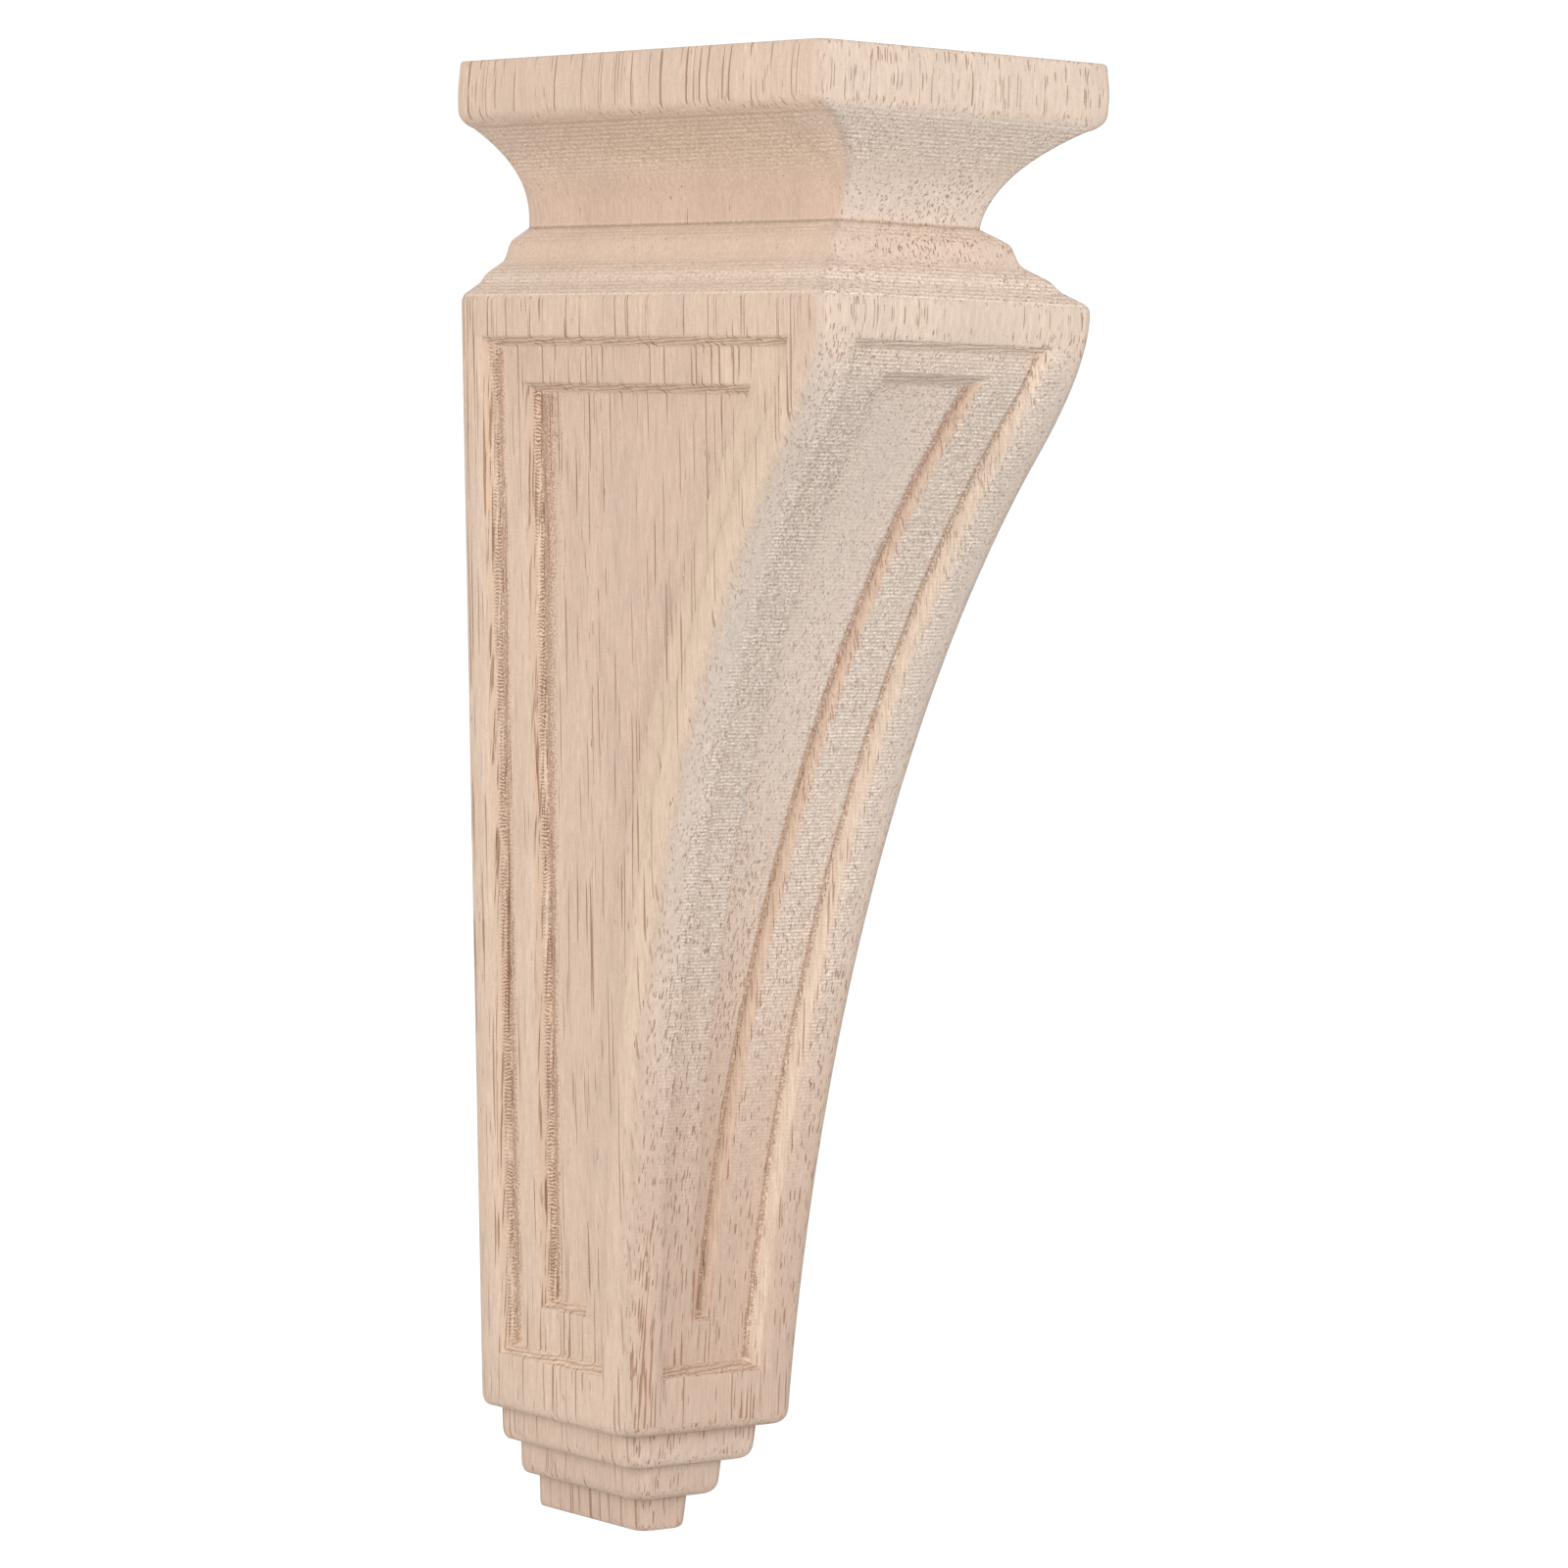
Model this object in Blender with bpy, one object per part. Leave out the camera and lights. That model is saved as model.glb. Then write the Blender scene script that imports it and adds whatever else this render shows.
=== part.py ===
"""A corbel carved from one block of pale hardwood.

From the top down it has a slab, a cove, two small steps, a tapering body whose front is hollowed in a long
sweep, and three tiers at its foot. Each side and the front carry a pair of nested sunk panels.

Units are metres and +Z is up. The back lies on Y = 0 and goes against the wall, the front faces -Y, and the
corbel is symmetric about X = 0. The origin is at the centre of the back face.
"""
import math
from collections import namedtuple

import bmesh
import bpy

MM = 0.001

# The block
HEIGHT = 305.0 * MM
SLAB_WIDTH = 76.4 * MM
SLAB_DEPTH = 118.0 * MM

# The slab and the cove below it
SLAB_HEIGHT = 12.0 * MM
SLAB_CROWN = 0.5 * MM
SLAB_EDGE = 1.6 * MM
SLAB_LOWER_EDGE = 3.4 * MM
COVE_HEIGHT = 21.5 * MM
COVE_SIDE_INSET = 19.3 * MM
COVE_FRONT_INSET = 16.4 * MM
COVE_SIDE_LIP = 2.6 * MM
COVE_FRONT_LIP = 0.8 * MM
COVE_LIP_FALL = 0.8 * MM
COVE_SIDE_POWER = 2.5
COVE_FRONT_POWER = 1.35
COVE_STEPS = 12

# The steps from the cove's crease out to the body
STEP_FALL = 2.9 * MM
UPPER_RISER = 4.2 * MM
LOWER_RISER = 2.0 * MM
UPPER_BATTER = 1.5 * MM
LOWER_BATTER = 1.5 * MM
STEP_EDGE = 1.1 * MM

# The body, whose top is set back a little under the slab
BODY_SIDE_SETBACK = 2.3 * MM
FASCIA_SETBACK = 0.8 * MM
BODY_TOP_WIDTH = SLAB_WIDTH - 2 * BODY_SIDE_SETBACK
BODY_FOOT_WIDTH = 44.9 * MM
FASCIA_DEPTH = SLAB_DEPTH - FASCIA_SETBACK
BODY_TOP_EDGE = 1.8 * MM
FASCIA_HEIGHT = 15.4 * MM
BODY_FOOT_DEPTH = 50.0 * MM
SWEEP_TURN = math.radians(58.0)
NOSE_BLEND = 12.5 * MM
FOOT_EDGE = 4.0 * MM
SWEEP_STEPS = 34

# The tiers under the body
TIER_COUNT = 3
TIER_HEIGHT = 7.75 * MM
TIER_SIDE_INSET = 5.2 * MM
TIER_FRONT_INSET = 4.8 * MM
TIER_BATTER = 0.5 * MM
TIER_UNDERCUT = 0.6 * MM
TIER_EDGE = 3.0 * MM

# The radius of the two upright corners at the front
SLAB_CORNER = 2.5 * MM
NECK_CORNER = 1.6 * MM
FASCIA_CORNER = 2.6 * MM
SWEEP_CORNER = 4.0 * MM
TIER_CORNER = 2.8 * MM
CORNER_STEPS = 5
EDGE_STEPS = 3

# The nested panels: margins run from the body's edges to the lip of the outer panel, and a ledge is the flat
# between the foot of the outer panel's wall and the lip of the inner panel
SIDE_PANEL_BACK_MARGIN = 6.6 * MM
SIDE_PANEL_FRONT_MARGIN = 8.4 * MM
SIDE_PANEL_LEDGE = 8.4 * MM
SIDE_PANEL_TOP_LEDGE = 7.7 * MM
SIDE_PANEL_FOOT_LEDGE = 9.2 * MM
SIDE_PANEL_WALL_RUN = 1.6 * MM
SIDE_PANEL_SINK = 3.5 * MM
FRONT_PANEL_MARGIN = 10.0 * MM
FRONT_PANEL_LEDGE = 10.4 * MM
FRONT_PANEL_TOP_LEDGE = 5.0 * MM
FRONT_PANEL_FOOT_LEDGE = 9.2 * MM
FRONT_PANEL_WALL_RUN = 1.4 * MM
FRONT_OUTER_SINK = 4.5 * MM
FRONT_INNER_SINK = 3.2 * MM
FRONT_FLOOR_BLEND = 8.0 * MM
PANEL_TOP_MARGIN = 8.5 * MM
PANEL_FOOT_MARGIN = 12.0 * MM
PANEL_STEPS = 28
CUTTER_LEAD = 1.0 * MM
CUTTER_REACH = 12.0 * MM

# Heights of the levels, measured from the origin
TOP = HEIGHT / 2
FOOT = -HEIGHT / 2
CREASE = TOP - SLAB_HEIGHT - COVE_HEIGHT
BODY_TOP = CREASE - 3 * STEP_FALL - UPPER_RISER - LOWER_RISER
BODY_FOOT = FOOT + TIER_COUNT * TIER_HEIGHT
NOSE = BODY_TOP - FASCIA_HEIGHT

# One level of the loft: half the width, the depth, the height, how far the edge there is rounded,
# and the radius of the upright corners
Level = namedtuple("Level", "half depth z edge corner")

# One ring of a panel cutter: how far it lies inside the outer panel's lip at the sides, the top and the foot,
# and how deep it lies under the face. A ring without a depth lies clear outside the block.
Ring = namedtuple("Ring", "side top foot sink")


def mix(start, end, share):
    """The value that lies the given share of the way from start to end."""
    return start + (end - start) * share


def soft_min(first, second, blend):
    """The smaller of two values, rounded off where they come within the blend of each other."""
    overlap = max(blend - abs(first - second), 0.0) / blend
    return min(first, second) - overlap * overlap * blend / 4


def body_half_width(z):
    """Half the body's width, which tapers in a straight line from its top to its foot."""
    return mix(BODY_FOOT_WIDTH, BODY_TOP_WIDTH, (z - BODY_FOOT) / (BODY_TOP - BODY_FOOT)) / 2


def sweep_depth(z, sink=0.0):
    """Depth of the hollow sweep at a height, or of the line that runs a given distance inside it.

    The sweep is an arc of an ellipse. It is upright at the body's foot and reaches the fascia at the nose,
    after turning through SWEEP_TURN.
    """
    across = (FASCIA_DEPTH - BODY_FOOT_DEPTH) / (1 - math.cos(SWEEP_TURN))
    up = (NOSE - BODY_FOOT) / math.sin(SWEEP_TURN)
    low, high = 0.0, math.radians(89.0)
    for _ in range(40):
        turn = (low + high) / 2
        normal_across = up * math.cos(turn)
        normal_up = across * math.sin(turn)
        length = math.hypot(normal_across, normal_up)
        if BODY_FOOT + up * math.sin(turn) + sink * normal_up / length < z:
            low = turn
        else:
            high = turn
    return BODY_FOOT_DEPTH + across * (1 - math.cos(turn)) - sink * normal_across / length


def front_depth(z, sink=0.0, blend=NOSE_BLEND):
    """Depth of the body's front: the upright fascia, rounded over into the sweep."""
    return soft_min(FASCIA_DEPTH - sink, sweep_depth(z, sink), blend)


def front_floor_depth(z, sink):
    """Depth of a floor of the front panels, which is shallower behind the fascia than in the sweep."""
    return soft_min(FASCIA_DEPTH - sink / 2, sweep_depth(z, sink), FRONT_FLOOR_BLEND)


def slab_levels():
    """The slab, with its faces slightly crowned."""
    half, depth = SLAB_WIDTH / 2, SLAB_DEPTH
    return [
        Level(half - SLAB_CROWN, depth - SLAB_CROWN, TOP, SLAB_EDGE, SLAB_CORNER),
        Level(half, depth, TOP - SLAB_HEIGHT / 2, SLAB_EDGE, SLAB_CORNER),
        Level(half - SLAB_CROWN / 2, depth - SLAB_CROWN / 2, TOP - SLAB_HEIGHT, SLAB_LOWER_EDGE, SLAB_CORNER),
    ]


def cove_levels():
    """The cove, from the lip under the slab down to the crease, where it stands upright."""
    levels = []
    for step in range(1, COVE_STEPS + 1):
        share = step / COVE_STEPS
        side_inset = mix(COVE_SIDE_LIP, COVE_SIDE_INSET, 1 - (1 - share) ** COVE_SIDE_POWER)
        front_inset = mix(COVE_FRONT_LIP, COVE_FRONT_INSET, 1 - (1 - share) ** COVE_FRONT_POWER)
        levels.append(Level(
            SLAB_WIDTH / 2 - side_inset,
            SLAB_DEPTH - front_inset,
            mix(TOP - SLAB_HEIGHT - COVE_LIP_FALL, CREASE, share),
            0.0,
            mix(SLAB_CORNER, NECK_CORNER, share)))
    return levels


def step_levels():
    """Three sloping treads with two risers between them, from the crease out to the body."""
    run = BODY_TOP_WIDTH / 2 - (SLAB_WIDTH / 2 - COVE_SIDE_INSET)
    tread = (run - UPPER_BATTER - LOWER_BATTER) / 3
    neck_depth = SLAB_DEPTH - COVE_FRONT_INSET
    levels = []
    travelled, z = 0.0, CREASE
    for out, down in ((tread, STEP_FALL), (UPPER_BATTER, UPPER_RISER), (tread, STEP_FALL),
                      (LOWER_BATTER, LOWER_RISER)):
        travelled += out
        z -= down
        share = travelled / run
        levels.append(Level(
            mix(SLAB_WIDTH / 2 - COVE_SIDE_INSET, BODY_TOP_WIDTH / 2, share),
            mix(neck_depth, FASCIA_DEPTH, share),
            z,
            STEP_EDGE,
            mix(NECK_CORNER, FASCIA_CORNER, share)))
    return levels


def body_levels():
    """The body: the fascia, the nose and the long hollow sweep down to its foot."""
    levels = [Level(BODY_TOP_WIDTH / 2, FASCIA_DEPTH, BODY_TOP, BODY_TOP_EDGE, FASCIA_CORNER)]
    for step in range(1, SWEEP_STEPS):
        z = mix(BODY_TOP, BODY_FOOT, step / SWEEP_STEPS)
        into_sweep = min((BODY_TOP - z) / (2 * FASCIA_HEIGHT), 1.0)
        corner = mix(FASCIA_CORNER, SWEEP_CORNER, into_sweep)
        levels.append(Level(body_half_width(z), front_depth(z), z, 0.0, corner))
    levels.append(Level(BODY_FOOT_WIDTH / 2, BODY_FOOT_DEPTH, BODY_FOOT, FOOT_EDGE, SWEEP_CORNER))
    return levels


def tier_levels():
    """The stepped tiers, each narrower and shallower than the one above it."""
    levels = []
    for tier in range(1, TIER_COUNT + 1):
        half = BODY_FOOT_WIDTH / 2 - tier * TIER_SIDE_INSET
        depth = BODY_FOOT_DEPTH - tier * TIER_FRONT_INSET
        top = BODY_FOOT - (tier - 1) * TIER_HEIGHT
        upper = Level(half, depth, top - TIER_UNDERCUT, 0.0, TIER_CORNER)
        lower = upper._replace(
            half=half - TIER_BATTER, depth=depth - TIER_BATTER, z=top - TIER_HEIGHT, edge=TIER_EDGE)
        levels += [upper, lower]
    return levels


def rounded(levels):
    """Rounds the edge at each level that asks for it, by no more than its neighbours leave room for."""
    result = [levels[0]]
    for before, here, after in zip(levels, levels[1:], levels[2:]):
        if here.edge == 0.0:
            result.append(here)
            continue
        ends = []
        for other in (before, after):
            length = math.dist(other[:3], here[:3])
            reach = min(here.edge, length * 0.45) / length
            ends.append([mix(a, b, reach) for a, b in zip(here, other)])
        for step in range(EDGE_STEPS + 1):
            share = step / EDGE_STEPS
            result.append(Level(*(
                mix(mix(start, corner, share), mix(corner, end, share), share)
                for start, corner, end in zip(ends[0], here, ends[1]))))
    result.append(levels[-1])
    return result


def bevelled_end(level, direction):
    """Replaces the level at the top or the bottom of the block by a small bevel that runs onto the flat."""
    size = level.edge / 2
    flat = level._replace(half=level.half - size, depth=level.depth - size, edge=0.0)
    side = level._replace(z=level.z - direction * size, edge=0.0)
    return flat, side


def corbel_levels():
    """Every level of the corbel from its top face to its bottom face."""
    levels = slab_levels() + cove_levels() + step_levels() + body_levels() + tier_levels()
    top_flat, top_side = bevelled_end(levels[0], 1)
    foot_flat, foot_side = bevelled_end(levels[-1], -1)
    return [top_flat] + rounded([top_side] + levels[1:-1] + [foot_side]) + [foot_flat]


def outline(level):
    """The corbel's outline at a level: square at the back, with two rounded corners at the front."""
    radius = min(level.corner, level.half * 0.8, level.depth * 0.8)
    points = [(level.half, 0.0)]
    for side, start in ((1, 0.0), (-1, math.pi / 2)):
        for step in range(CORNER_STEPS + 1):
            angle = start + math.pi / 2 * step / CORNER_STEPS
            points.append((
                side * (level.half - radius) + radius * math.cos(angle),
                -(level.depth - radius) - radius * math.sin(angle)))
    points.append((-level.half, 0.0))
    return [(x, y, level.z) for x, y in points]


def mesh_object(name, bm, collection):
    """Makes an object of a closed bmesh, with its faces turned outwards."""
    bmesh.ops.recalc_face_normals(bm, faces=bm.faces)
    mesh = bpy.data.meshes.new(name)
    bm.to_mesh(mesh)
    bm.free()
    obj = bpy.data.objects.new(name, mesh)
    collection.objects.link(obj)
    return obj


def loft(name, levels, collection):
    """Joins the outlines of the levels into one closed solid."""
    bm = bmesh.new()
    loops = [[bm.verts.new(point) for point in outline(level)] for level in levels]
    count = len(loops[0])
    for upper, lower in zip(loops, loops[1:]):
        for i in range(count):
            j = (i + 1) % count
            bm.faces.new((upper[i], upper[j], lower[j], lower[i]))
    bm.faces.new(loops[0])
    bm.faces.new(loops[-1])
    return mesh_object(name, bm, collection)


def pocket_rings(lip, wall_run, sink):
    """The rings of a cutter for one sunk panel, from its floor out past the face, for the ring of its lip."""
    lead = wall_run * CUTTER_LEAD / sink
    mouth = Ring(lip.side - lead, lip.top - lead, lip.foot - lead, lip.sink - CUTTER_LEAD)
    return [
        Ring(lip.side + wall_run, lip.top + wall_run, lip.foot + wall_run, lip.sink + sink),
        mouth,
        mouth._replace(sink=None),
    ]


def panel_heights(ring):
    """The heights at which the long edges of a ring have points, from its foot to its top."""
    top = BODY_TOP - PANEL_TOP_MARGIN - ring.top
    foot = BODY_FOOT + PANEL_FOOT_MARGIN + ring.foot
    return [mix(foot, top, step / PANEL_STEPS) for step in range(PANEL_STEPS + 1)]


def side_panel_edges(ring, side):
    """The back edge and the front edge of one ring of a side panel."""
    back, front = [], []
    for z in panel_heights(ring):
        if ring.sink is None:
            x = side * (SLAB_WIDTH / 2 + CUTTER_REACH)
        else:
            x = side * (body_half_width(z) - ring.sink)
        back.append((x, -(SIDE_PANEL_BACK_MARGIN + ring.side), z))
        front.append((x, -front_depth(z, SIDE_PANEL_FRONT_MARGIN + ring.side), z))
    return back, front


def front_panel_edges(ring):
    """The left edge and the right edge of one ring of a front panel."""
    left, right = [], []
    for z in panel_heights(ring):
        half = body_half_width(z) - FRONT_PANEL_MARGIN - ring.side
        if ring.sink is None:
            depth = SLAB_DEPTH + CUTTER_REACH
        elif ring.sink < 0:
            depth = front_depth(z, ring.sink)
        else:
            depth = front_floor_depth(z, ring.sink)
        left.append((-half, -depth, z))
        right.append((half, -depth, z))
    return left, right


def ring_stack(name, edge_pairs, collection):
    """Joins rings, each given by its two long edges, into one closed cutter."""
    bm = bmesh.new()
    rings = [[[bm.verts.new(point) for point in edge] for edge in pair] for pair in edge_pairs]
    for (first, second), (next_first, next_second) in zip(rings, rings[1:]):
        for edge, next_edge in ((first, next_first), (second, next_second)):
            for i in range(len(edge) - 1):
                bm.faces.new((edge[i], edge[i + 1], next_edge[i + 1], next_edge[i]))
        for end in (0, -1):
            bm.faces.new((first[end], second[end], next_second[end], next_first[end]))
    for first, second in (rings[0], rings[-1]):
        for i in range(len(first) - 1):
            bm.faces.new((first[i], first[i + 1], second[i + 1], second[i]))
    cutter = mesh_object(name, bm, collection)
    cutter.hide_render = True
    cutter.display_type = "WIRE"
    return cutter


def panel_cutters(collection):
    """An outer and an inner cutter for each side and for the front."""
    outer_lip = Ring(0.0, 0.0, 0.0, 0.0)
    side_inner_lip = Ring(
        SIDE_PANEL_WALL_RUN + SIDE_PANEL_LEDGE,
        SIDE_PANEL_WALL_RUN + SIDE_PANEL_TOP_LEDGE,
        SIDE_PANEL_WALL_RUN + SIDE_PANEL_FOOT_LEDGE,
        SIDE_PANEL_SINK)
    front_inner_lip = Ring(
        FRONT_PANEL_WALL_RUN + FRONT_PANEL_LEDGE,
        FRONT_PANEL_WALL_RUN + FRONT_PANEL_TOP_LEDGE,
        FRONT_PANEL_WALL_RUN + FRONT_PANEL_FOOT_LEDGE,
        FRONT_OUTER_SINK)
    cutters = []
    for place, lip in (("outer", outer_lip), ("inner", side_inner_lip)):
        for name, side in (("left", -1), ("right", 1)):
            rings = pocket_rings(lip, SIDE_PANEL_WALL_RUN, SIDE_PANEL_SINK)
            edges = [side_panel_edges(ring, side) for ring in rings]
            cutters.append(ring_stack(f"{name}_{place}_panel", edges, collection))
    front = (("outer", outer_lip, FRONT_OUTER_SINK), ("inner", front_inner_lip, FRONT_INNER_SINK))
    for place, lip, sink in front:
        edges = [front_panel_edges(ring) for ring in pocket_rings(lip, FRONT_PANEL_WALL_RUN, sink)]
        cutters.append(ring_stack(f"front_{place}_panel", edges, collection))
    return cutters


def raw_hardwood():
    """Unfinished pale hardwood."""
    material = bpy.data.materials.new("raw_hardwood")
    material.use_nodes = True
    shader = material.node_tree.nodes["Principled BSDF"]
    shader.inputs["Base Color"].default_value = (0.66, 0.51, 0.41, 1.0)
    shader.inputs["Roughness"].default_value = 0.8
    shader.inputs["Metallic"].default_value = 0.0
    return material


def clear_scene():
    """Removes whatever the file opened with."""
    for obj in list(bpy.data.objects):
        bpy.data.objects.remove(obj, do_unlink=True)


def new_collection(name):
    """Adds a collection to the scene."""
    collection = bpy.data.collections.new(name)
    bpy.context.scene.collection.children.link(collection)
    return collection


def build():
    """Lofts the corbel and cuts its panels."""
    clear_scene()
    corbel = loft("corbel", corbel_levels(), new_collection("carved_corbel"))
    corbel.data.materials.append(raw_hardwood())
    for cutter in panel_cutters(new_collection("cutters")):
        cut = corbel.modifiers.new(cutter.name, "BOOLEAN")
        cut.operation = "DIFFERENCE"
        cut.solver = "EXACT"
        cut.object = cutter


build()
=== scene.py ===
"""The looks of a carved corbel in pale raw hardwood.

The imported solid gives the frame. One piece, carved_corbel, stands for it: the same levels and sunk panels,
with soft lips, worn edges and the ridges that the carving cutter left, in dry, open-pored wood. Units are
metres, +Z is up, the front faces -Y, the back lies on Y = 0 and X = 0 is the plane of symmetry.
"""
from __future__ import annotations

import logging
import math
from dataclasses import dataclass, field, replace
from enum import Enum

import bpy
import numpy as np
from mathutils import Matrix, Vector

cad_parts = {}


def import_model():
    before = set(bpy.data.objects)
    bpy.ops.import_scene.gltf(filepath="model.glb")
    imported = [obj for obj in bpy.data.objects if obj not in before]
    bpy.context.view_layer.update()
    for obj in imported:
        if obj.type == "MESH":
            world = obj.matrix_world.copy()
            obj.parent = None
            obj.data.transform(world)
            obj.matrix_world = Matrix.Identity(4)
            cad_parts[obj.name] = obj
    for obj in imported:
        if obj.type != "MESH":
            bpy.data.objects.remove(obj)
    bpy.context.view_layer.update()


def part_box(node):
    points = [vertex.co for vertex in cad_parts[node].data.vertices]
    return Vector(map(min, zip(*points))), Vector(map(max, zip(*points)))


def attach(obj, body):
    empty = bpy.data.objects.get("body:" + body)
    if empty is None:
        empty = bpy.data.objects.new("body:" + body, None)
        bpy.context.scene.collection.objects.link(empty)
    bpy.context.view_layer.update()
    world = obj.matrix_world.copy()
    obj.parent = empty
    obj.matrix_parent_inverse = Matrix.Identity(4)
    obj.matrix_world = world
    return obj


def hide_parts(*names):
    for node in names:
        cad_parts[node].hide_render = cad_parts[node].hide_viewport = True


MM = 0.001
NODE = "corbel"
SLOT = "raw_hardwood"
END_INSET = 4.0 * MM  # from the rim of the top or the underside to the level inside it
BEYOND = 1.0  # deeper inside a lip than any panel reaches

Array = np.ndarray
Number = float | np.ndarray
Pair = tuple[float, float]
Triple = tuple[float, float, float]
Band = tuple[Pair, Pair]
Socket = bpy.types.NodeSocket
Tone = Socket | Triple

log = logging.getLogger("corbel")


class Mask(Enum):
    """The point attributes that tell the finish where it is on the carving."""

    RIDGE = "ridge"
    WAVE = "ridge_wave"
    FRONT = "front"
    COOL = "cool"
    INNER_WALL = "inner_wall"
    OUTER_WALL = "outer_wall"
    LADDER = "ladder"
    FLOOR = "floor"
    GROOVE = "groove"
    FOOT_LINE = "foot_line"
    CREASE = "crease"
    FUZZ = "fuzz"
    CORNER = "corner"


def mix(start: Number, end: Number, share: Number) -> Number:
    """The value that lies the given share of the way from start to end."""
    return start + (end - start) * share


def smooth_step(low: float, high: float, value: Array) -> Array:
    """Rises smoothly from 0 at low to 1 at high."""
    share = np.clip((value - low) / (high - low), 0.0, 1.0)
    return share * share * (3.0 - 2.0 * share)


def band(value: Array, start: Pair, end: Pair) -> Array:
    """Rises smoothly over the first stretch and falls again over the second."""
    return smooth_step(*start, value) * (1 - smooth_step(*end, value))


def soft_min(first: Array, second: Array, blend: float) -> Array:
    """The smaller of two values, rounded off where they come within the blend of each other."""
    overlap = np.maximum(blend - np.abs(first - second), 0.0) / blend
    return np.minimum(first, second) - overlap * overlap * blend / 4


@dataclass(frozen=True)
class Level:
    """One level of the block: half its width, its depth and height, the round of its edge and its corners."""

    half: float
    depth: float
    z: float
    edge: float
    corner: float

    def towards(self, other: Level, share: float) -> Level:
        """The level that lies the given share of the way to another one."""
        names = ("half", "depth", "z", "edge", "corner")
        return Level(*(mix(getattr(self, name), getattr(other, name), share) for name in names))

    def distance(self, other: Level) -> float:
        """How far apart two levels lie along the profile."""
        return math.dist((self.half, self.depth, self.z), (other.half, other.depth, other.z))


@dataclass(frozen=True)
class Block:
    """The corbel's overall box, as the frame gives it."""

    width: float
    depth: float
    top: float
    foot: float

    @staticmethod
    def of_node(name: str) -> Block:
        """Reads the box of a CAD node.

        Args:
            name: The node's name.

        Returns:
            The block with its width across X, its depth along Y and its two heights.
        """
        low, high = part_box(name)
        return Block(high[0] - low[0], high[1] - low[1], high[2], low[2])


@dataclass(frozen=True)
class Cap:
    """The slab at the top and the cove under it."""

    slab_height: float = 12.0 * MM
    slab_crown: float = 0.5 * MM
    slab_top_edge: float = 1.1 * MM
    slab_edge: float = 1.6 * MM
    slab_lower_edge: float = 3.4 * MM
    cove_height: float = 21.5 * MM
    cove_side_inset: float = 19.3 * MM
    cove_front_inset: float = 16.4 * MM
    cove_side_lip: float = 2.6 * MM
    cove_front_lip: float = 0.8 * MM
    cove_lip_fall: float = 0.8 * MM
    cove_side_power: float = 2.5
    cove_front_power: float = 1.35
    cove_steps: int = 30
    slab_corner: float = 2.5 * MM
    neck_corner: float = 1.6 * MM

    def crease(self, block: Block) -> float:
        """Height of the crease at the foot of the cove."""
        return block.top - self.slab_height - self.cove_height

    def levels(self, block: Block) -> list[Level]:
        """Lists the levels of the slab and the cove, from the top down.

        Args:
            block: The corbel's box.

        Returns:
            The levels, with the edges that are still to be rounded.
        """
        half, depth, crown = block.width / 2, block.depth, self.slab_crown
        under = block.top - self.slab_height
        inset = crown + END_INSET
        levels = [
            Level(half - inset, depth - inset, block.top, 0.0, self.slab_corner),
            Level(half - crown, depth - crown, block.top, self.slab_top_edge, self.slab_corner),
            Level(half, depth, mix(block.top, under, 0.5), self.slab_edge, self.slab_corner),
            Level(half - crown / 2, depth - crown / 2, under, self.slab_lower_edge, self.slab_corner),
        ]
        for step in range(1, self.cove_steps + 1):
            share = step / self.cove_steps
            side = mix(self.cove_side_lip, self.cove_side_inset, 1 - (1 - share) ** self.cove_side_power)
            front = mix(self.cove_front_lip, self.cove_front_inset, 1 - (1 - share) ** self.cove_front_power)
            z = mix(under - self.cove_lip_fall, self.crease(block), share)
            corner = mix(self.slab_corner, self.neck_corner, share)
            levels.append(Level(half - side, depth - front, z, 0.0, corner))
        return levels


@dataclass(frozen=True)
class Steps:
    """The three sloping treads and two risers from the crease out to the body."""

    fall: float = 2.9 * MM
    upper_riser: float = 4.2 * MM
    lower_riser: float = 2.0 * MM
    upper_batter: float = 1.5 * MM
    lower_batter: float = 1.5 * MM
    edge: float = 1.2 * MM

    @property
    def height(self) -> float:
        """From the crease down to the top of the body."""
        return 3 * self.fall + self.upper_riser + self.lower_riser

    def levels(self, neck: Level, body: Level) -> list[Level]:
        """Lists the levels between the crease and the top of the body.

        Args:
            neck: The level at the crease.
            body: The level at the top of the body.

        Returns:
            The four levels at the ends of the treads and risers.
        """
        run = body.half - neck.half
        tread = (run - self.upper_batter - self.lower_batter) / 3
        travelled, z = 0.0, neck.z
        levels = []
        for out, down in ((tread, self.fall), (self.upper_batter, self.upper_riser), (tread, self.fall),
                          (self.lower_batter, self.lower_riser)):
            travelled += out
            z -= down
            levels.append(replace(neck.towards(body, travelled / run), z=z, edge=self.edge))
        return levels


@dataclass(frozen=True)
class Body:
    """The tapering body, whose front is an upright fascia rounded over into a long hollow sweep."""

    side_setback: float = 2.3 * MM
    foot_width: float = 44.9 * MM
    fascia_setback: float = 0.8 * MM
    top_edge: float = 1.8 * MM
    fascia_height: float = 15.4 * MM
    foot_depth: float = 50.0 * MM
    sweep_turn: float = math.radians(58.0)
    nose_blend: float = 12.5 * MM
    floor_blend: float = 8.0 * MM
    foot_edge: float = 4.0 * MM
    fascia_corner: float = 2.6 * MM
    sweep_corner: float = 4.0 * MM
    sweep_steps: int = 240


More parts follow.
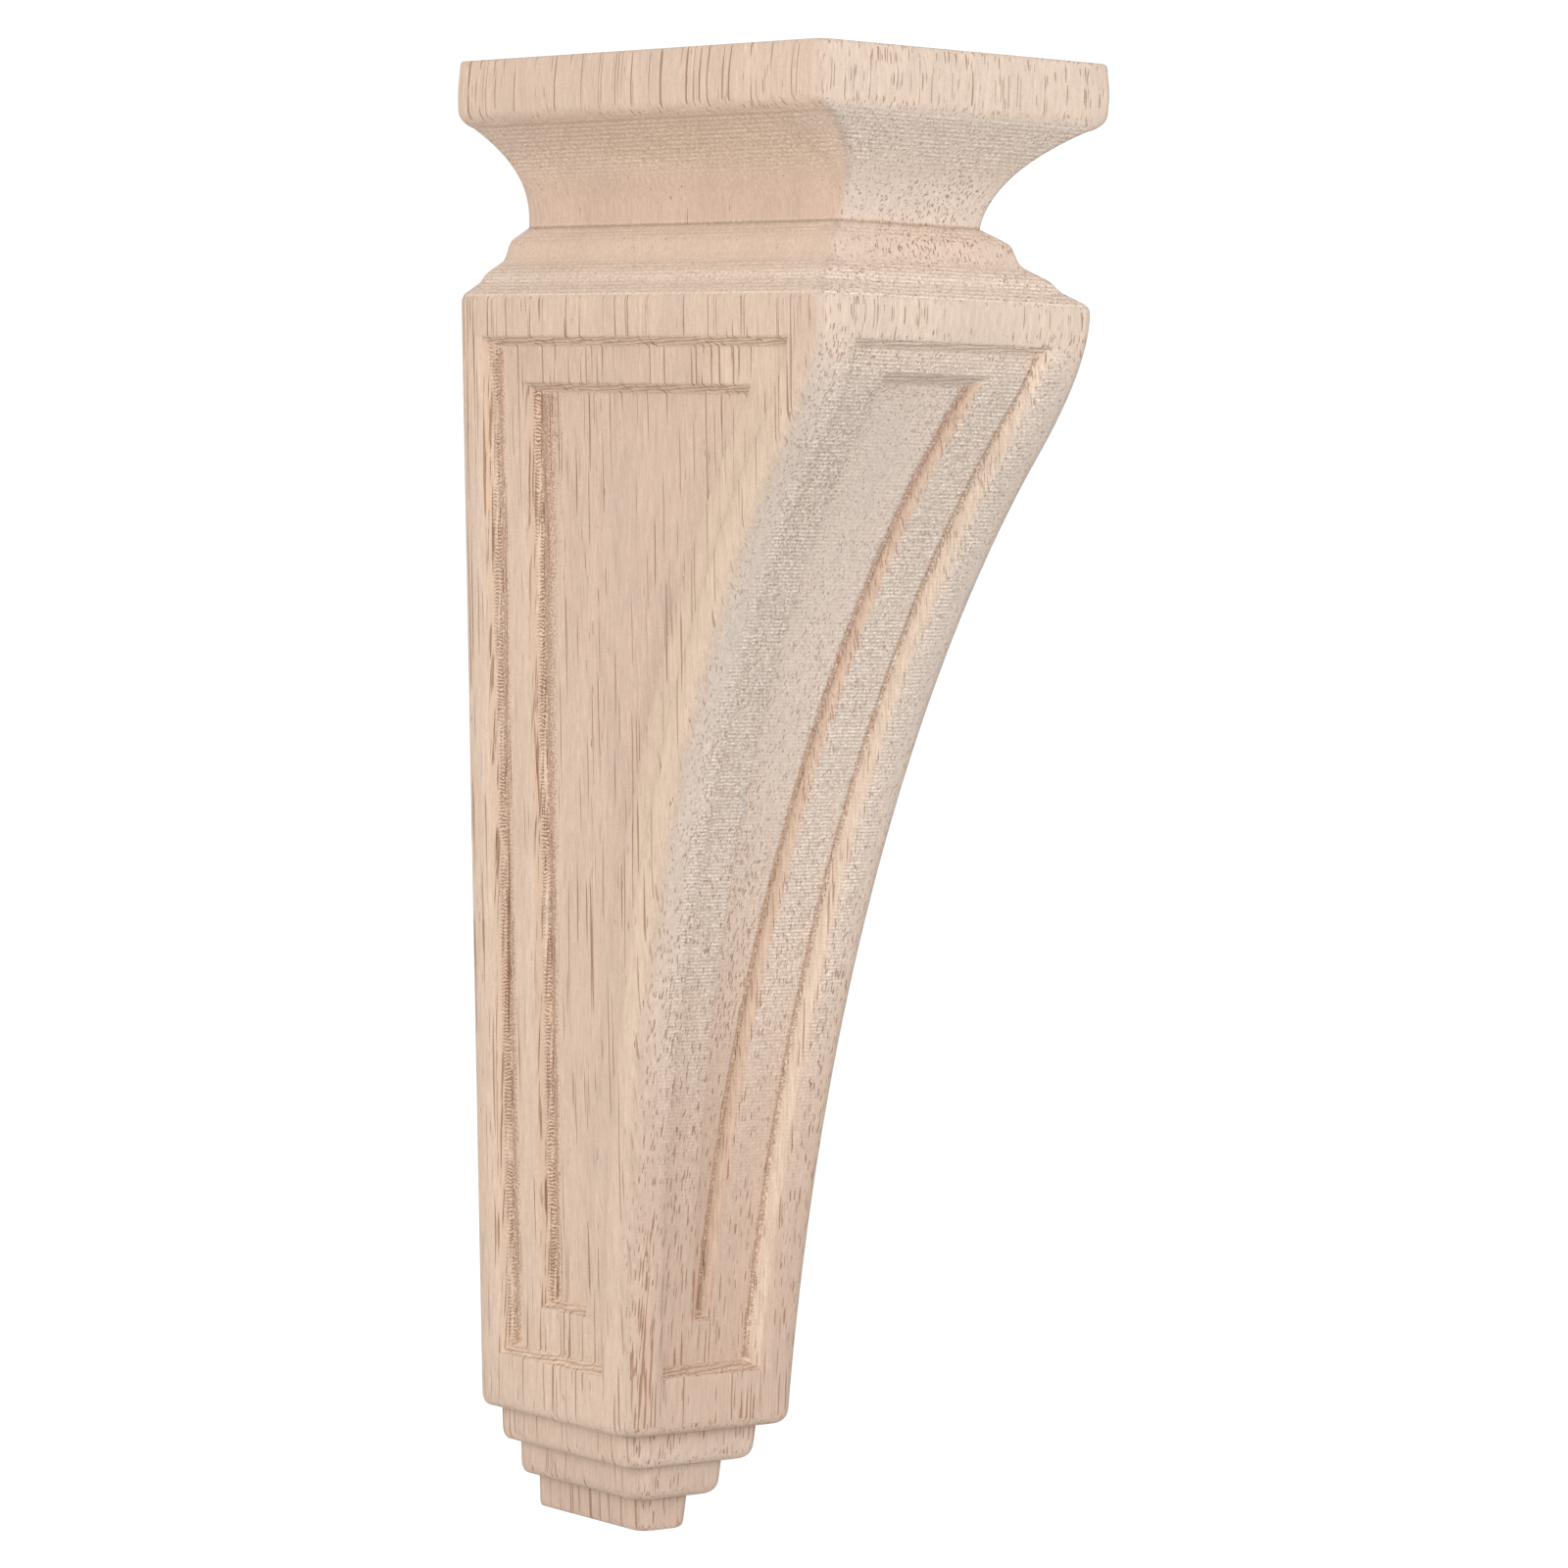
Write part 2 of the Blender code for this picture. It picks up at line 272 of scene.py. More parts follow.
@dataclass(frozen=True)
class Tiers:
    """The stepped tiers under the body."""

    count: int = 3
    height: float = 7.75 * MM
    side_inset: float = 5.2 * MM
    front_inset: float = 4.8 * MM
    batter: float = 0.5 * MM
    undercut: float = 0.6 * MM
    edge: float = 3.0 * MM
    end_edge: float = 1.5 * MM
    corner: float = 2.8 * MM

    def levels(self, body_foot: Level) -> list[Level]:
        """Lists the levels of the tiers, each narrower and shallower than the one above it.

        Args:
            body_foot: The lowest level of the body.

        Returns:
            The levels down to the underside, and one inside the underside's edge.
        """
        levels = []
        for tier in range(1, self.count + 1):
            top = body_foot.z - (tier - 1) * self.height
            upper = Level(
                body_foot.half - tier * self.side_inset, body_foot.depth - tier * self.front_inset,
                top - self.undercut, 0.0, self.corner)
            lower = replace(
                upper, half=upper.half - self.batter, depth=upper.depth - self.batter,
                z=top - self.height, edge=self.edge if tier < self.count else self.end_edge)
            levels += [upper, lower]
        last = levels[-1]
        levels.append(replace(last, half=last.half - END_INSET, depth=last.depth - END_INSET, edge=0.0))
        return levels


@dataclass(frozen=True)
class Panels:
    """A pair of nested sunk panels on one face.

    Margins run from the edges of the face to the lip of the outer panel, and a ledge is the flat between the
    foot of the outer panel's wall and the lip of the inner panel.
    """

    near_margin: float
    far_margin: float
    ledge: float
    top_ledge: float
    foot_ledge: float
    wall_run: float
    outer_sink: float
    inner_sink: float
    columns: int = 6
    top_margin: float = 8.5 * MM
    foot_margin: float = 12.0 * MM
    lip_softness: float = 0.45 * MM

    def wall(self, lip: float) -> list[float]:
        """Offsets of the columns that draw one wall, from just outside its lip to just inside its foot."""
        width = self.wall_run + 2 * self.lip_softness
        return [lip - self.lip_softness + step / (self.columns - 1) * width for step in range(self.columns)]

    def ramp(self, inside: Array) -> Array:
        """How far a wall has come down, from 0 to 1, at a distance inside its lip."""
        return smooth_step(-self.lip_softness, self.wall_run + self.lip_softness, inside)


SIDE_PANELS = Panels(
    near_margin=6.6 * MM, far_margin=8.4 * MM, ledge=8.4 * MM, top_ledge=7.7 * MM, foot_ledge=9.2 * MM,
    wall_run=1.6 * MM, outer_sink=3.5 * MM, inner_sink=3.5 * MM)
FRONT_PANELS = Panels(
    near_margin=10.0 * MM, far_margin=10.0 * MM, ledge=10.4 * MM, top_ledge=5.0 * MM, foot_ledge=9.2 * MM,
    wall_run=1.4 * MM, outer_sink=4.5 * MM, inner_sink=3.2 * MM)


@dataclass
class Profile:
    """The block's size at every height, before any panel is sunk into it."""

    block: Block
    cap: Cap = field(default_factory=Cap)
    steps: Steps = field(default_factory=Steps)
    body: Body = field(default_factory=Body)
    tiers: Tiers = field(default_factory=Tiers)
    edge_steps: int = 6
    edge_share: float = 0.45
    neighbour_reach: float = 6.0 * MM
    arc_points: int = 4000

    def __post_init__(self) -> None:
        """Works out the heights, then every level with its rounded edges."""
        self.crease = self.cap.crease(self.block)
        self.body_top = self.crease - self.steps.height
        self.body_foot = self.block.foot + self.tiers.count * self.tiers.height
        self.nose = self.body_top - self.body.fascia_height
        self.fascia_depth = self.block.depth - self.body.fascia_setback
        levels = self._rounded(self._levels())
        table = np.array([[lv.z, lv.half, lv.depth, lv.corner] for lv in reversed(levels)])
        self._table = table[np.concatenate(([True], np.diff(table[:, 0]) > 1e-7))]
        self.edge_heights = [lv.z for lv in levels if lv.edge > 0.0]

    def _levels(self) -> list[Level]:
        """Puts the levels of all parts together.

        Returns:
            Every level from the top down, with the edges still sharp.
        """
        cap = self.cap.levels(self.block)
        body = self.body
        top_half = self.block.width / 2 - body.side_setback
        top = Level(top_half, self.fascia_depth, self.body_top, body.top_edge, body.fascia_corner)
        levels = cap + self.steps.levels(cap[-1], top) + [top]
        for step in range(1, body.sweep_steps):
            z = mix(self.body_top, self.body_foot, step / body.sweep_steps)
            into_sweep = min((self.body_top - z) / (2 * body.fascia_height), 1.0)
            corner = mix(body.fascia_corner, body.sweep_corner, into_sweep)
            levels.append(Level(float(self.half_width(z)), float(self.face_depth(z)), z, 0.0, corner))
        foot = Level(body.foot_width / 2, body.foot_depth, self.body_foot, body.foot_edge, body.sweep_corner)
        return levels + [foot] + self.tiers.levels(foot)

    def _rounded(self, levels: list[Level]) -> list[Level]:
        """Rounds the edge at each level that asks for it.

        Args:
            levels: The levels with sharp edges. Only levels that are far enough apart set an edge's reach.

        Returns:
            The levels with a short curve in place of each such edge.
        """
        result = [levels[0]]
        for index in range(1, len(levels) - 1):
            here = levels[index]
            if here.edge == 0.0:
                result.append(here)
                continue
            ends = []
            for other in (self._neighbour(levels, index, -1), self._neighbour(levels, index, 1)):
                length = here.distance(other)
                ends.append(here.towards(other, min(here.edge, length * self.edge_share) / length))
            while result[-1].z < ends[0].z - 1e-9 and result[-1].edge == 0.0:
                result.pop()
            for step in range(self.edge_steps + 1):
                share = step / self.edge_steps
                point = ends[0].towards(here, share).towards(here.towards(ends[1], share), share)
                result.append(replace(point, edge=here.edge))
            levels[index] = replace(here, z=ends[1].z, half=ends[1].half, depth=ends[1].depth)
        result.append(levels[-1])
        return result[:1] + [level for level, before in zip(result[1:], result) if level.z < before.z - 1e-9]

    def _neighbour(self, levels: list[Level], index: int, direction: int) -> Level:
        """Finds the level that sets how far an edge may reach.

        Args:
            levels: All levels.
            index: The edge's own level.
            direction: -1 for the levels above it, or 1 for those below.

        Returns:
            The next level out of the edge's reach, or the next one that has an edge of its own.
        """
        here = levels[index]
        place = index + direction
        while 0 < place < len(levels) - 1 and levels[place].edge == 0.0 and (
                here.distance(levels[place]) < self.neighbour_reach):
            place += direction
        return levels[place]

    def half_width(self, z: Array) -> Array:
        """Half the body's width, which tapers in a straight line from its top to its foot."""
        share = (z - self.body_foot) / (self.body_top - self.body_foot)
        return mix(self.body.foot_width / 2, self.block.width / 2 - self.body.side_setback, share)

    def sweep_depth(self, z: Array, sink: float = 0.0) -> Array:
        """Depth of the hollow sweep, or of the line that runs a given distance inside it.

        Args:
            z: The heights.
            sink: The distance inside the sweep, square to it.

        Returns:
            The depths. The sweep is an arc of an ellipse, upright at the foot of the body.
        """
        across = (self.fascia_depth - self.body.foot_depth) / (1 - math.cos(self.body.sweep_turn))
        up = (self.nose - self.body_foot) / math.sin(self.body.sweep_turn)
        turn = np.radians(np.linspace(-5.0, 89.0, self.arc_points))
        length = np.hypot(up * np.cos(turn), across * np.sin(turn))
        heights = self.body_foot + up * np.sin(turn) + sink * across * np.sin(turn) / length
        depths = self.body.foot_depth + across * (1 - np.cos(turn)) - sink * up * np.cos(turn) / length
        return np.interp(z, heights, depths)

    def face_depth(self, z: Array, sink: float = 0.0) -> Array:
        """Depth of the body's front, or of the line that runs a given distance inside it."""
        return soft_min(self.fascia_depth - sink, self.sweep_depth(z, sink), self.body.nose_blend)

    def floor_depth(self, z: Array, sink: float) -> Array:
        """Depth of a floor of the front panels, which is shallower behind the fascia than in the sweep."""
        return soft_min(self.fascia_depth - sink / 2, self.sweep_depth(z, sink), self.body.floor_blend)

    def at(self, z: Array) -> tuple[Array, Array, Array]:
        """Half the width, the depth and the corner radius at each height."""
        return tuple(np.interp(z, self._table[:, 0], self._table[:, column]) for column in (1, 2, 3))


@dataclass
class Rows:
    """The heights at which the surface has points, from the foot up.

    Rows lie a third of a ridge apart wherever the cutter's ridges show. On the plain middle of the sides only
    every sixth of them is kept.
    """

    profile: Profile
    ridge_pitch: float
    ridge_rows: int = 3
    side_stride: int = 6
    plain_spacing: float = 1.0 * MM
    side_reserve: float = 5.0 * MM
    undercut_shares: Triple = (0.5, 1.0, 1.6)
    least_step: float = 0.01 * MM
    least_gap: float = 0.4

    def heights(self) -> tuple[Array, Array]:
        """Lists the rows.

        Returns:
            The heights in rising order, and for each one whether it also crosses the sides.
        """
        p = self.profile
        fine = self.ridge_pitch / self.ridge_rows
        under = p.block.top - p.cap.slab_height
        ridge_rows = np.arange(math.ceil(p.body_foot / fine), math.floor(under / fine))
        plain = np.concatenate([
            np.arange(p.block.foot, p.body_foot, self.plain_spacing),
            np.arange(under, p.block.top, self.plain_spacing)])
        shelves = [p.body_foot - tier * p.tiers.height - p.tiers.undercut * share
                   for tier in range(p.tiers.count) for share in self.undercut_shares]
        fixed = np.array(sorted(set(p.edge_heights + shelves + [p.block.foot, p.block.top, p.crease])))
        fixed = fixed[np.concatenate(([True], np.diff(fixed) > self.least_step))]
        loose = np.concatenate([ridge_rows * fine, plain])
        stride = np.concatenate([ridge_rows % self.side_stride == 0, np.full(len(plain), True)])
        near = np.searchsorted(fixed, loose)
        gap = np.minimum(
            np.abs(loose - fixed[np.clip(near, 0, len(fixed) - 1)]),
            np.abs(loose - fixed[np.clip(near - 1, 0, len(fixed) - 1)]))
        keep = gap > self.least_gap * fine
        rows = np.concatenate([fixed, loose[keep]])
        on_stride = np.concatenate([np.full(len(fixed), True), stride[keep]])
        order = np.argsort(rows)
        rows, on_stride = rows[order], on_stride[order]
        low = p.body_foot + SIDE_PANELS.foot_margin + SIDE_PANELS.foot_ledge + self.side_reserve
        high = p.body_top - SIDE_PANELS.top_margin - SIDE_PANELS.top_ledge - self.side_reserve
        return rows, on_stride | (rows < low) | (rows > high)


@dataclass(frozen=True)
class Zone:
    """Heights over which a mask comes in and goes out, and its strength between them.

    Each stretch is measured from a height of its own, such as the foot of the body or the nose of the sweep.
    """

    start: Pair
    end: Pair
    strength: float = 1.0

    def over(self, z: Array, foot: float, head: float) -> Array:
        """Works out the mask.

        Args:
            z: The heights.
            foot: The height that the start is measured from.
            head: The height that the end is measured from.

        Returns:
            The mask at each height.
        """
        start = (foot + self.start[0], foot + self.start[1])
        end = (head + self.end[0], head + self.end[1])
        return self.strength * band(z, start, end)


@dataclass
class Sheet:
    """A grid of points over one part of the surface, with its masks."""

    x: Array
    y: Array
    masks: dict[Mask, Array]


@dataclass
class Sinking:
    """How far the two walls of a face's panels have come down at each point, and where those walls are."""

    outer: Array
    inner: Array
    outer_wall: Array
    inner_wall: Array
    level: Array
    foot_line: Array


@dataclass
class Carving:
    """The dense surface of the corbel, with its panels sunk and its masks worked out."""

    profile: Profile
    ridge_pitch: float = 0.76 * MM
    back_edge: float = 0.5 * MM
    corner_steps: int = 5
    floor_columns: int = 4
    mitre: float = 0.3 * MM
    foot_line_at: float = 0.25 * MM
    foot_line_width: float = 0.35 * MM
    column_room: float = 0.12 * MM
    crease_shade_width: float = 0.5 * MM
    rear_reach: float = 4.0 * MM
    ridged_sweep: Zone = Zone((30.0 * MM, 120.0 * MM), (2.0 * MM, 9.0 * MM))
    ridged_cove: Zone = Zone((-14.0 * MM, -8.0 * MM), (-2.0 * MM, 0.0), 0.8)
    ridged_treads: Zone = Zone((-0.5 * MM, 0.5 * MM), (-1.0 * MM, 0.0), 0.8)
    ridged_crease: Zone = Zone((-3.0 * MM, -2.0 * MM), (0.0, 1.0 * MM), 0.6)
    cool_sweep: Zone = Zone((50.0 * MM, 170.0 * MM), (-4.0 * MM, 9.0 * MM))
    cool_cove: Zone = Zone((-18.0 * MM, -6.0 * MM), (-2.0 * MM, 2.0 * MM), 0.85)

    @property
    def under_slab(self) -> float:
        """Height of the slab's underside."""
        return self.profile.block.top - self.profile.cap.slab_height

    def _insides(self, panels: Panels, z: Array, column_outer: Array, column_inner: Array) -> Sinking:
        """Works out how far the outer and the inner wall have come down at each point of a face.

        Args:
            panels: The face's panels.
            z: The heights of the rows.
            column_outer: For each column, how far it lies inside the outer lip.
            column_inner: For each column, how far it lies inside the inner lip.

        Returns:
            The ramps of both walls, the same ramps on the upright walls alone, and the masks of the level
            walls and of the line of painted shade along the walls' feet.
        """
        p = self.profile
        top = p.body_top - panels.top_margin
        foot = p.body_foot + panels.foot_margin
        rim = panels.wall_run
        rows = (np.minimum(top - z, z - foot),
                np.minimum(top - rim - panels.top_ledge - z, z - foot - rim - panels.foot_ledge))
        ramps, walls, level, line = [], [], 0.0, 0.0
        for row, column in zip(rows, (column_outer, column_inner)):
            inside = np.minimum(row[:, None], column)
            ramp = panels.ramp(inside)
            is_level = smooth_step(-self.mitre, self.mitre, column - row[:, None])
            walls.append(np.where(ramp < 0.999, ramp, 0.0) * (1 - is_level))
            level = np.maximum(level, 4 * ramp * (1 - ramp) * is_level)
            foot_at = (inside - rim - self.foot_line_at) / self.foot_line_width
            line = np.maximum(line, np.exp(-foot_at ** 2) * (1 - is_level))
            ramps.append(ramp)
        return Sinking(ramps[0], ramps[1], walls[0], walls[1], level, line)

    def _limits(self, panels: Panels, z: Array) -> Array:
        """The heights, held within the stretch that the panels cover."""
        p = self.profile
        return np.clip(z, p.body_foot + panels.foot_margin - MM, p.body_top - panels.top_margin + MM)

    def side(self, z: Array) -> Sheet:
        """Works out the points of a side face, from the back edge to where the front corner starts.

        Args:
            z: The heights of the rows that cross the sides.

        Returns:
            The points of the right-hand side. The left-hand side is its mirror image.
        """
        p, panels = self.profile, SIDE_PANELS
        inner = panels.wall_run + panels.ledge
        edge = self.back_edge
        back = [0.0, 0.3 * edge, edge, panels.near_margin / 2] + panels.wall(panels.near_margin)
        back += [panels.near_margin + inner * 0.6] + panels.wall(panels.near_margin + inner)
        front = [panels.far_margin * 0.75] + panels.wall(panels.far_margin)
        front += [panels.far_margin + inner * 0.6] + panels.wall(panels.far_margin + inner)
        held = self._limits(panels, z)
        held_depth, held_corner = p.at(held)[1:]
        half, depth, corner = p.at(z)
        columns = [np.full(len(z), value) for value in back]
        front_columns = [p.face_depth(held, value) for value in front]
        for step in range(1, self.floor_columns + 1):
            columns.append(mix(columns[len(back) - 1], front_columns[-1], step / (self.floor_columns + 1)))
        columns += front_columns[::-1]
        held_reach = held_depth - held_corner
        reach = depth - corner
        along = np.stack(columns, axis=1)
        scaled = along / held_reach[:, None] * reach[:, None]
        share = np.clip(along / (0.5 * held_reach[:, None]), 0.0, 1.0)
        place = mix(np.minimum(along, scaled), scaled, share)
        place[:, :3] = along[:, :3]  # the rounded back edge keeps its place
        place = np.concatenate([place, reach[:, None]], axis=1)
        outer_at = [value - panels.near_margin for value in back] + [BEYOND] * self.floor_columns
        outer_at += [value - panels.far_margin for value in front[::-1]] + [corner.max() - panels.far_margin]
        sinking = self._insides(panels, z, np.array(outer_at), np.array(outer_at) - inner)
        width = np.repeat(half[:, None], place.shape[1], axis=1)
        width[:, 0] -= edge
        width[:, 1] -= 0.3 * edge
        width -= panels.outer_sink * sinking.outer + panels.inner_sink * sinking.inner
        at_back = place < panels.near_margin + inner + self.rear_reach
        none = np.zeros_like(place)
        moulding = self._moulding_ridges(z)[:, None] + none
        rear = np.maximum(sinking.outer_wall, sinking.inner_wall) * at_back
        return Sheet(width, -place, {mask: none for mask in Mask if mask is not Mask.WAVE} | {
            Mask.RIDGE: moulding * smooth_step(0.0, 2 * MM, place) * 0.8,
            Mask.LADDER: rear,
            Mask.GROOVE: sinking.level,
            Mask.FOOT_LINE: sinking.foot_line * at_back,
            Mask.CREASE: self._crease_shades(z)[:, None] + none,
            Mask.FUZZ: np.maximum(0.7 * smooth_step(0.3, 0.7, rear), moulding),
        })

    def front(self, z: Array) -> Sheet:
        """Works out the points of the right-hand half of the front, from the side's seam to the middle.

        Args:
            z: The heights of all rows.

        Returns:
            The points, with the corner's arc first and the column on the middle line last.
        """
        p, panels = self.profile, FRONT_PANELS
        half, depth, corner = p.at(z)
        held = self._limits(panels, z)
        held_half, _, held_corner = p.at(held)
        inner = panels.wall_run + panels.ledge
        offsets = [panels.near_margin * 0.75] + panels.wall(panels.near_margin)
        offsets += [panels.near_margin + inner * 0.3, panels.near_margin + inner * 0.7]
        offsets += panels.wall(panels.near_margin + inner)
        count = len(offsets)
        across = []
        for index, offset in enumerate(offsets):
            room = self.column_room * (count - index + self.floor_columns)
            across.append(np.maximum(held_half - offset, room))
        for step in range(1, self.floor_columns + 1):
            across.append(across[count - 1] * (1 - step / self.floor_columns))
        place = np.stack(across, axis=1) / (held_half - held_corner)[:, None] * (half - corner)[:, None]
        place = np.concatenate([(half - corner)[:, None], place], axis=1)
        outer_at = np.array([value - panels.near_margin for value in [corner.max()] + offsets]
                            + [BEYOND] * self.floor_columns)
        sinking = self._insides(panels, z, outer_at, outer_at - inner)
        first = depth - p.floor_depth(z, panels.outer_sink)
        second = p.floor_depth(z, panels.outer_sink) - p.floor_depth(z, panels.outer_sink + panels.inner_sink)
        y = depth[:, None] - first[:, None] * sinking.outer - second[:, None] * sinking.inner
        angles = np.linspace(0.0, math.pi / 2, self.corner_steps + 2)[:-1]
        arc_x = (half - corner)[:, None] + corner[:, None] * np.cos(angles)
        arc_y = (depth - corner)[:, None] + corner[:, None] * np.sin(angles)
        turn = np.sin(angles) ** 2 * np.ones((len(z), 1))
        flat = np.ones_like(place)
        sweep = self.ridged_sweep.over(z, p.body_foot, p.nose)
        margin_band = np.clip((half[:, None] - np.abs(place)) / panels.near_margin, 0.0, 1.0)
        centre = np.clip(np.abs(place) / np.maximum(place[:, count:count + 1], MM), 0.0, 1.0)
        floor_ridges = mix(mix(0.12, 0.6, centre), 1.0, 1.0 - sinking.inner)
        upright = smooth_step(0.03, 0.4, np.maximum(sinking.outer_wall, sinking.inner_wall))
        margin_ridges = smooth_step(0.40, 0.80, margin_band)
        ridge = np.where(margin_band < 1.0, margin_ridges, floor_ridges)
        ridge = sweep[:, None] * ridge * (1 - 0.8 * upright)
        moulding, crease_shades, cool = (
            values[:, None] for values in (self._moulding_ridges(z), self._crease_shades(z), self._cool(z)))
        ridge = np.maximum(ridge, moulding * flat)
        arc = np.zeros_like(arc_x)
        masks = {
            Mask.RIDGE: (moulding * np.sin(angles), ridge),
            Mask.FRONT: (turn, flat),
            Mask.COOL: (turn * cool, flat * cool),
            Mask.INNER_WALL: (arc, sinking.inner_wall),
            Mask.OUTER_WALL: (arc, sinking.outer_wall),
            Mask.LADDER: (arc, 0.0 * flat),
            Mask.FLOOR: (arc, sinking.inner),
            Mask.GROOVE: (arc, sinking.level),
            Mask.FOOT_LINE: (arc, sinking.foot_line),
            Mask.CREASE: (arc + crease_shades, flat * crease_shades),
            Mask.FUZZ: (arc + moulding, np.maximum(0.9 * ridge, 0.3 * upright)),
            Mask.CORNER: (4 * turn * (1 - turn), 0.0 * flat),
        }
        joined = {mask: np.concatenate(halves, axis=1) for mask, halves in masks.items()}
        return Sheet(
            np.concatenate([arc_x, place], axis=1), -np.concatenate([arc_y, y], axis=1), joined)

    def _cool(self, z: Array) -> Array:
        """Works out how grey the front is: most where the sweep and the cove cut across the fibres.

        Args:
            z: The heights.

        Returns:
            The share of the cool tone at each height.
        """
        p, under = self.profile, self.under_slab
        return np.maximum(self.cool_sweep.over(z, p.body_foot, p.nose), self.cool_cove.over(z, under, under))

    def _moulding_ridges(self, z: Array) -> Array:
        """Works out where the mouldings carry ridges: the upper half of the cove, and the treads.

        Args:
            z: The heights.

        Returns:
            The strength of the ridges at each height.
        """
        p, under = self.profile, self.under_slab
        cove = self.ridged_cove.over(z, under, under)
        treads = self.ridged_treads.over(z, p.body_top, mix(p.crease, p.body_top, 0.5))
        return np.max([cove, treads, self.ridged_crease.over(z, p.crease, p.crease)], axis=0)

    def _crease_shades(self, z: Array) -> Array:
        """A mask of painted shade that is 1 in the crease under the cove and at the top of each tier."""
        p = self.profile
        tops = [p.body_foot - tier * p.tiers.height - p.tiers.undercut for tier in range(p.tiers.count)]
        heights = [p.crease] + tops
        return np.max([np.exp(-((z - height) / self.crease_shade_width) ** 2) for height in heights], axis=0)

    def mesh(self, name: str) -> bpy.types.Mesh:
        """Joins the side and front sheets, the back and the two ends into one closed mesh.

        The front has more rows than the sides, so a face of a side that touches the front takes in the points
        between its two rows.

        Args:
            name: The mesh's name.

        Returns:
            The mesh, with one float attribute for each mask.
        """
        z, crosses_sides = Rows(self.profile, self.ridge_pitch).heights()
        side_rows = np.flatnonzero(crosses_sides)
        side = self.side(z[side_rows])
        front = self.front(z)
        side_count = side.x.shape[1]
        points, masks = [], {mask: [] for mask in front.masks}

        def add(sheet: Sheet, heights: Array, sign: int, columns: slice) -> Array:
            """Adds part of a sheet's points.

            Args:
                sheet: The sheet.
                heights: The heights of its rows.
                sign: 1 for the right-hand half, or -1 for its mirror image.
                columns: The columns to add.

            Returns:
                The points' numbers as a grid.
            """
            x, y = sheet.x[:, columns], sheet.y[:, columns]
            start = sum(len(block) for block in points)
            tall = np.repeat(heights[:, None], x.shape[1], axis=1)
            points.append(np.stack([sign * x, y, tall], axis=2).reshape(-1, 3))
            for mask, values in sheet.masks.items():
                masks[mask].append(values[:, columns].reshape(-1))
            return start + np.arange(x.size).reshape(x.shape)

        every = slice(None)
        right_front = add(front, z, 1, every)
        left_front = np.concatenate([add(front, z, -1, slice(0, -1)), right_front[:, -1:]], axis=1)
        inner = slice(0, side_count - 1)
        right_side = np.concatenate([add(side, z[side_rows], 1, inner), right_front[side_rows, :1]], axis=1)
        left_side = np.concatenate([add(side, z[side_rows], -1, inner), left_front[side_rows, :1]], axis=1)
        faces: list[tuple[int, ...]] = []

        def quads(grid: Array, outward: bool) -> None:
            """Adds a grid's quads.

            Args:
                grid: The points' numbers.
                outward: Whether the quads face out as the grid runs, or have to be turned.
            """
            a, b = grid[:-1, :-1].ravel(), grid[:-1, 1:].ravel()
            c, d = grid[1:, 1:].ravel(), grid[1:, :-1].ravel()
            corners = (a, b, c, d) if outward else (d, c, b, a)
            faces.extend(zip(*(corner.tolist() for corner in corners)))

        quads(right_front, False)
        quads(left_front, True)
        quads(right_side[:, :-1], False)
        quads(left_side[:, :-1], True)
        for grid, seam, outward in ((right_side, right_front, False), (left_side, left_front, True)):
            for row, (low, high) in enumerate(zip(side_rows[:-1], side_rows[1:])):
                between = seam[low:high + 1, 0].tolist()
                ring = [int(grid[row, -2])] + between + [int(grid[row + 1, -2])]
                faces.append(tuple(ring if outward else ring[::-1]))
        quads(np.stack([left_side[:, 0], right_side[:, 0]], axis=1), False)
        for row, upward in ((0, False), (-1, True)):
            self._end(faces, left_side[row], right_side[row], left_front[row], right_front[row], upward)
        mesh = bpy.data.meshes.new(name)
        mesh.from_pydata(np.concatenate(points).tolist(), [], faces)
        mesh.validate()
        for mask, blocks in masks.items():
            attribute = mesh.attributes.new(mask.value, "FLOAT", "POINT")
            attribute.data.foreach_set("value", np.concatenate(blocks).astype(np.float32))
        mesh.shade_smooth()
        return mesh

    def _end(self, faces: list[tuple[int, ...]], left_side: Array, right_side: Array,
             left_front: Array, right_front: Array, upward: bool) -> None:
        """Closes the top or the underside with strips across it and one face along the front.

        Args:
            faces: The faces so far, to which this adds.
            left_side: The points along the left side, from the back.
            right_side: The points along the right side.
            left_front: The points from the left corner to the middle of the front.
            right_front: The points from the right corner to the middle.
            upward: Whether this is the top.
        """
        arc = self.corner_steps
        left = left_side.tolist() + left_front[1:arc + 1].tolist()
        right = right_side.tolist() + right_front[1:arc + 1].tolist()
        for index in range(len(left) - 1):
            strip = (left[index], right[index], right[index + 1], left[index + 1])
            faces.append(strip[::-1] if upward else strip)
        rim = left_front[arc:].tolist() + right_front[arc:-1].tolist()[::-1]
        faces.append(tuple(rim if upward else rim[::-1]))


